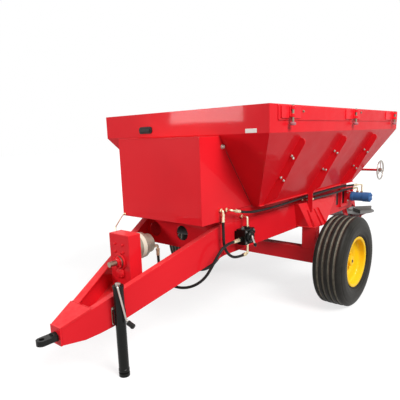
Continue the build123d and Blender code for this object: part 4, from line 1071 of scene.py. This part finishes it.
# %% Jack crank and grip
JACK_X, JACK_Y, JACK_TOP = 1.919, 0.19494, 0.595
CRANK = [  # from the middle of the jack's top
    (0, 0, 0.007), (0.039, 0.046, 0.007), (-0.0045, 0.0468, -0.206), (-0.0085, 0.060, -0.2278),
    (-0.0117, 0.102, -0.243),
]
CRANK_CAP = [(0, 0.010), (0.001, 0.0165), (0.012, 0.0165), (0.014, 0.012)]
CRANK_GRIP = [
    (0, 0.009), (0.03, 0.0145), (0.12, 0.0168), (0.3, 0.0155), (0.55, 0.0158), (0.88, 0.0172), (0.97, 0.015),
    (1, 0.010),
]
GRIP_ENDS = [(-0.0087, 0.058, -0.2275), (-0.012, 0.107, -0.245)]
jack = at_axle((JACK_X, JACK_Y, JACK_TOP))
rod = carried(round_section(0.0062, 14), eased(jack + CRANK, 0.013, 8, closed=False), (0.9, -0.4, 0.05))
cap = turned(CRANK_CAP, jack + (0, 0, 0.0005), UP, AHEAD, 28)
piece = make_piece("crank_rod", [rod, cap], "chassis", zinc_plate)
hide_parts("jack_crank")
grip = lathe_run(CRANK_GRIP, *(jack + GRIP_ENDS), 28)
piece = make_piece("crank_grip", [grip], "chassis", grip_rubber)
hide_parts("jack_grip")
print("crank corners:", len(CRANK))

# %% Jack collars and pivot
JACK_COLLAR = [(0, 0.0326), (0.001, 0.0345), (0.016, 0.0345), (0.018, 0.0326), (0.018, 0.0322), (0, 0.0322)]
COLLAR_Z, PIVOT_Z, TUBE_TO_PIVOT, PIVOT_THICK = (0.574, 0.033), 0.39, 0.0425, 0.006
collar_spots = at_axle([(JACK_X, JACK_Y, z) for z in COLLAR_Z])
collars = [turned(JACK_COLLAR, spot, UP, AHEAD, 48, ring=True) for spot in collar_spots]
make_piece("jack_collars", collars, "chassis", black_paint, 35)
FACE, ALONG = unit((0.2982, 0.9545, 0)), unit((-0.9545, 0.2982, 0))
pivot_at = at_axle((JACK_X, JACK_Y, PIVOT_Z)) - TUBE_TO_PIVOT * FACE
pivot = slab(oblong(-0.040, 0.042, -0.058, 0.058, 0.012, 5), PIVOT_THICK, pivot_at, ALONG, UP)
make_piece("jack_pivot_plate", [pivot], "chassis", shaft_steel, 30)
corners = [
    pivot_at + (PIVOT_THICK + CLEAR) * FACE + a * ALONG + (0, 0, b)
    for a in (-0.031, 0.033) for b in (-0.047, 0.047)
]
make_piece("jack_pivot_bolts", [nuts(corners, FACE, 0.013)], "chassis", zinc_plate, 30)
print("pivot bolts:", len(corners))

# %% [markdown]
# ## Belt drive, gate and discs
#
# The belt's rear roller sits in two take-up frames, each with a threaded
# screw that pulls its bearing back. The gate's guides, the motor and the disc
# hubs are bolted. A thread could be a true helix. At this size nobody sees
# its lead, so rings of the same pitch on a turned rod do as well.

# %% Take-up screws and motor bolts
ROLLER_X, ROLLER_Z, SCREW_Y, SCREW_R = -1.040, 0.770, 0.408, 0.0083
BLOCK_FACE_Y, MOTOR_END_Y = 0.4282, 0.6598


def threaded(y, start, end, pitch=0.003):
    """Screw along X: its radius is SCREW_R*(1.02 - 0.07*|sin(pi*s/pitch)|), rings in place of a helix."""
    length = end - start
    share = np.linspace(0, 1, int(length / pitch * 4))
    radius = SCREW_R * (1.02 - 0.07 * np.abs(np.sin(np.pi * share * length / pitch)))
    return lathe_run(np.stack([share, radius], -1), *at_axle([(start, y, ROLLER_Z), (end, y, ROLLER_Z)]), 14)


for side, s in SIDES.items():
    y = s * SCREW_Y
    screws = [threaded(y, -1.230, -1.196), threaded(y, -1.163, -1.086)]
    lock = nuts(at_axle([(-1.1903, y, ROLLER_Z), (-1.1637, y, ROLLER_Z)]), [(-1, 0, 0), AHEAD], 0.026)
    spots = at_axle([(x, s * BLOCK_FACE_Y, z) for x in (-1.073, -1.007) for z in (0.728, 0.808)])
    patches = [*screws, lock, nuts(spots, (0, s, 0), 0.012)]
    make_piece(f"take_up_{side}", patches, "chassis", zinc_plate, 30)
spots = ring_of(4, 0.030, at_axle((ROLLER_X, MOTOR_END_Y, ROLLER_Z)), AHEAD, UP, np.pi / 4)
make_piece("motor_bolts", [nuts(spots, LEFT, 0.013)], "chassis", blue_paint, 30)
print("motor bolts:", len(spots))

# %% Gate and discs
REAR_LEAN = 0.54
GATE_OUT, GATE_UP = unit((-1, 0, -REAR_LEAN)), unit((-REAR_LEAN, 0, 1))
gate_foot = at_axle((-1.0299, 0, 0.892))
GUIDE_Y, GUIDE_FACE, CLIMBS = 0.336, 0.0125, (0.03, 0.12, 0.21, 0.30)
DISC_X, DISC_Y, HUB_TOP = -1.500, 0.285, 0.5402
spots = [
    gate_foot + (0, s * GUIDE_Y, 0) + GUIDE_FACE * GATE_OUT + climb * GATE_UP
    for s in (1, -1) for climb in CLIMBS
]
make_piece("guide_bolts", [nuts(spots, GATE_OUT, 0.011)], "chassis", zinc_plate, 30)
wheel_nut = nuts(at_axle([(-1.200, 0.7012, 1.040)]), LEFT, 0.022)
make_piece("hand_wheel_nut", [wheel_nut], "chassis", zinc_plate, 30)
for side, s in SIDES.items():
    hub = ring_of(4, 0.024, at_axle((DISC_X, s * DISC_Y, HUB_TOP)), AHEAD, LEFT)
    make_piece(f"disc_bolts_{side}", [nuts(hub, UP, 0.012)], f"spinner_{side}", zinc_plate, 30)
print("guide bolts:", len(spots))

# %% [markdown]
# ## Floor
#
# A plain pale floor carries the machine's shadow. A white backdrop with a
# shadow catcher would need a second pass. Here the floor glows for rays that
# the eye sees, stronger farther out, so that it runs into the background,
# while for light that bounces it stays a dull, darker concrete.

# %% Floor
FLOOR_HALF, FLOOR_GLOW, GLOW_REACH = 40, (0.74, 1.0), (2.5, 7.0)
FLOOR_STOPS = [(0.3, (0.29, 0.287, 0.282)), (0.7, (0.34, 0.337, 0.332))]


def seen_rays(tree):
    """1 for rays that the eye sees: camera, glossy and transmission rays."""
    paths = tree.nodes.new("ShaderNodeLightPath").outputs
    direct = add_math(tree, "MAXIMUM", paths["Is Camera Ray"], paths["Is Glossy Ray"])
    return add_math(tree, "MAXIMUM", direct, paths["Is Transmission Ray"])


corners = [(x * FLOOR_HALF, y * FLOOR_HALF, 0) for x, y in ((-1, -1), (1, -1), (1, 1), (-1, 1))]
floor_mesh = bpy.data.meshes.new("floor")
floor_mesh.from_pydata(corners, [], [(0, 1, 2, 3)])
floor_concrete, tree, shader = shader_of("floor_concrete")
tree.links.new(add_ramp(tree, add_noise(tree, 1.4, 6.0, 0.6), FLOOR_STOPS), shader.inputs["Base Color"])
shader.inputs["Roughness"].default_value = 0.85
shader.inputs["Specular IOR Level"].default_value = 0.1
glow = tree.nodes.new("ShaderNodeEmission")
glow.inputs["Color"].default_value = (1, 1, 1, 1)
white = add_range(tree, add_distance(tree), FLOOR_GLOW, GLOW_REACH)
tree.links.new(add_math(tree, "MULTIPLY", seen_rays(tree), white), glow.inputs["Strength"])
both = tree.nodes.new("ShaderNodeAddShader")
for socket, source in zip(both.inputs, (shader, glow)):
    tree.links.new(source.outputs[0], socket)
tree.links.new(both.outputs[0], tree.nodes["Material Output"].inputs["Surface"])
floor_mesh.materials.append(floor_concrete)
floor = bpy.data.objects.new("floor", floor_mesh)
bpy.context.scene.collection.objects.link(floor)
print("floor side:", 2 * FLOOR_HALF, "m")

# %% [markdown]
# ## Light
#
# The machine stands in soft, even light that comes more from its left. One
# strong lamp would throw hard shadows. Three wide area lamps do it instead: a
# main one high on the left, a large one overhead, and a window-like one ahead
# that draws one soft highlight on the front band. Behind them the world is a
# dim sky for the light, and plain white for the eye.

# %% World
SKY_COLOUR, SKY_STRENGTH = (0.95, 0.97, 1.0, 1), 0.36
world = bpy.data.worlds.new("world")
bpy.context.scene.world = world
world.use_nodes = True
tree = world.node_tree
sky, pale = tree.nodes["Background"], tree.nodes.new("ShaderNodeBackground")
for node, colour, strength in ((sky, SKY_COLOUR, SKY_STRENGTH), (pale, (1, 1, 1, 1), 1.0)):
    node.inputs["Color"].default_value = colour
    node.inputs["Strength"].default_value = strength
choose = tree.nodes.new("ShaderNodeMixShader")
for socket, source in zip(choose.inputs, (seen_rays(tree), sky.outputs[0], pale.outputs[0])):
    tree.links.new(source, socket)
tree.links.new(choose.outputs[0], tree.nodes["World Output"].inputs["Surface"])
print("sky strength:", SKY_STRENGTH)

# %% Lamps
LAMPS = {  # place, point it faces, width, height and power
    "key_lamp": ((1.8, 6.0, 6.0), (0, 0, 0.8), 3.5, 3.5, 620),
    "sky_lamp": ((0.5, 0.5, 7.0), (0, 0, 0.5), 6.0, 6.0, 170),
    "window_lamp": ((AXLE_X + 6.75, -4.29, 2.45), (0.8, 0.3, 1.5), 1.7, 1.4, 210),
}
for name, (spot, target, width, height, power) in LAMPS.items():
    data = bpy.data.lights.new(name, "AREA")
    data.shape, data.size, data.size_y, data.energy = "RECTANGLE", width, height, power
    lamp = bpy.data.objects.new(name, data)
    lamp.location = spot
    lamp.rotation_euler = (Vector(target) - Vector(spot)).to_track_quat("-Z", "Y").to_euler()
    bpy.context.scene.collection.objects.link(lamp)
print("lamps:", len(LAMPS))
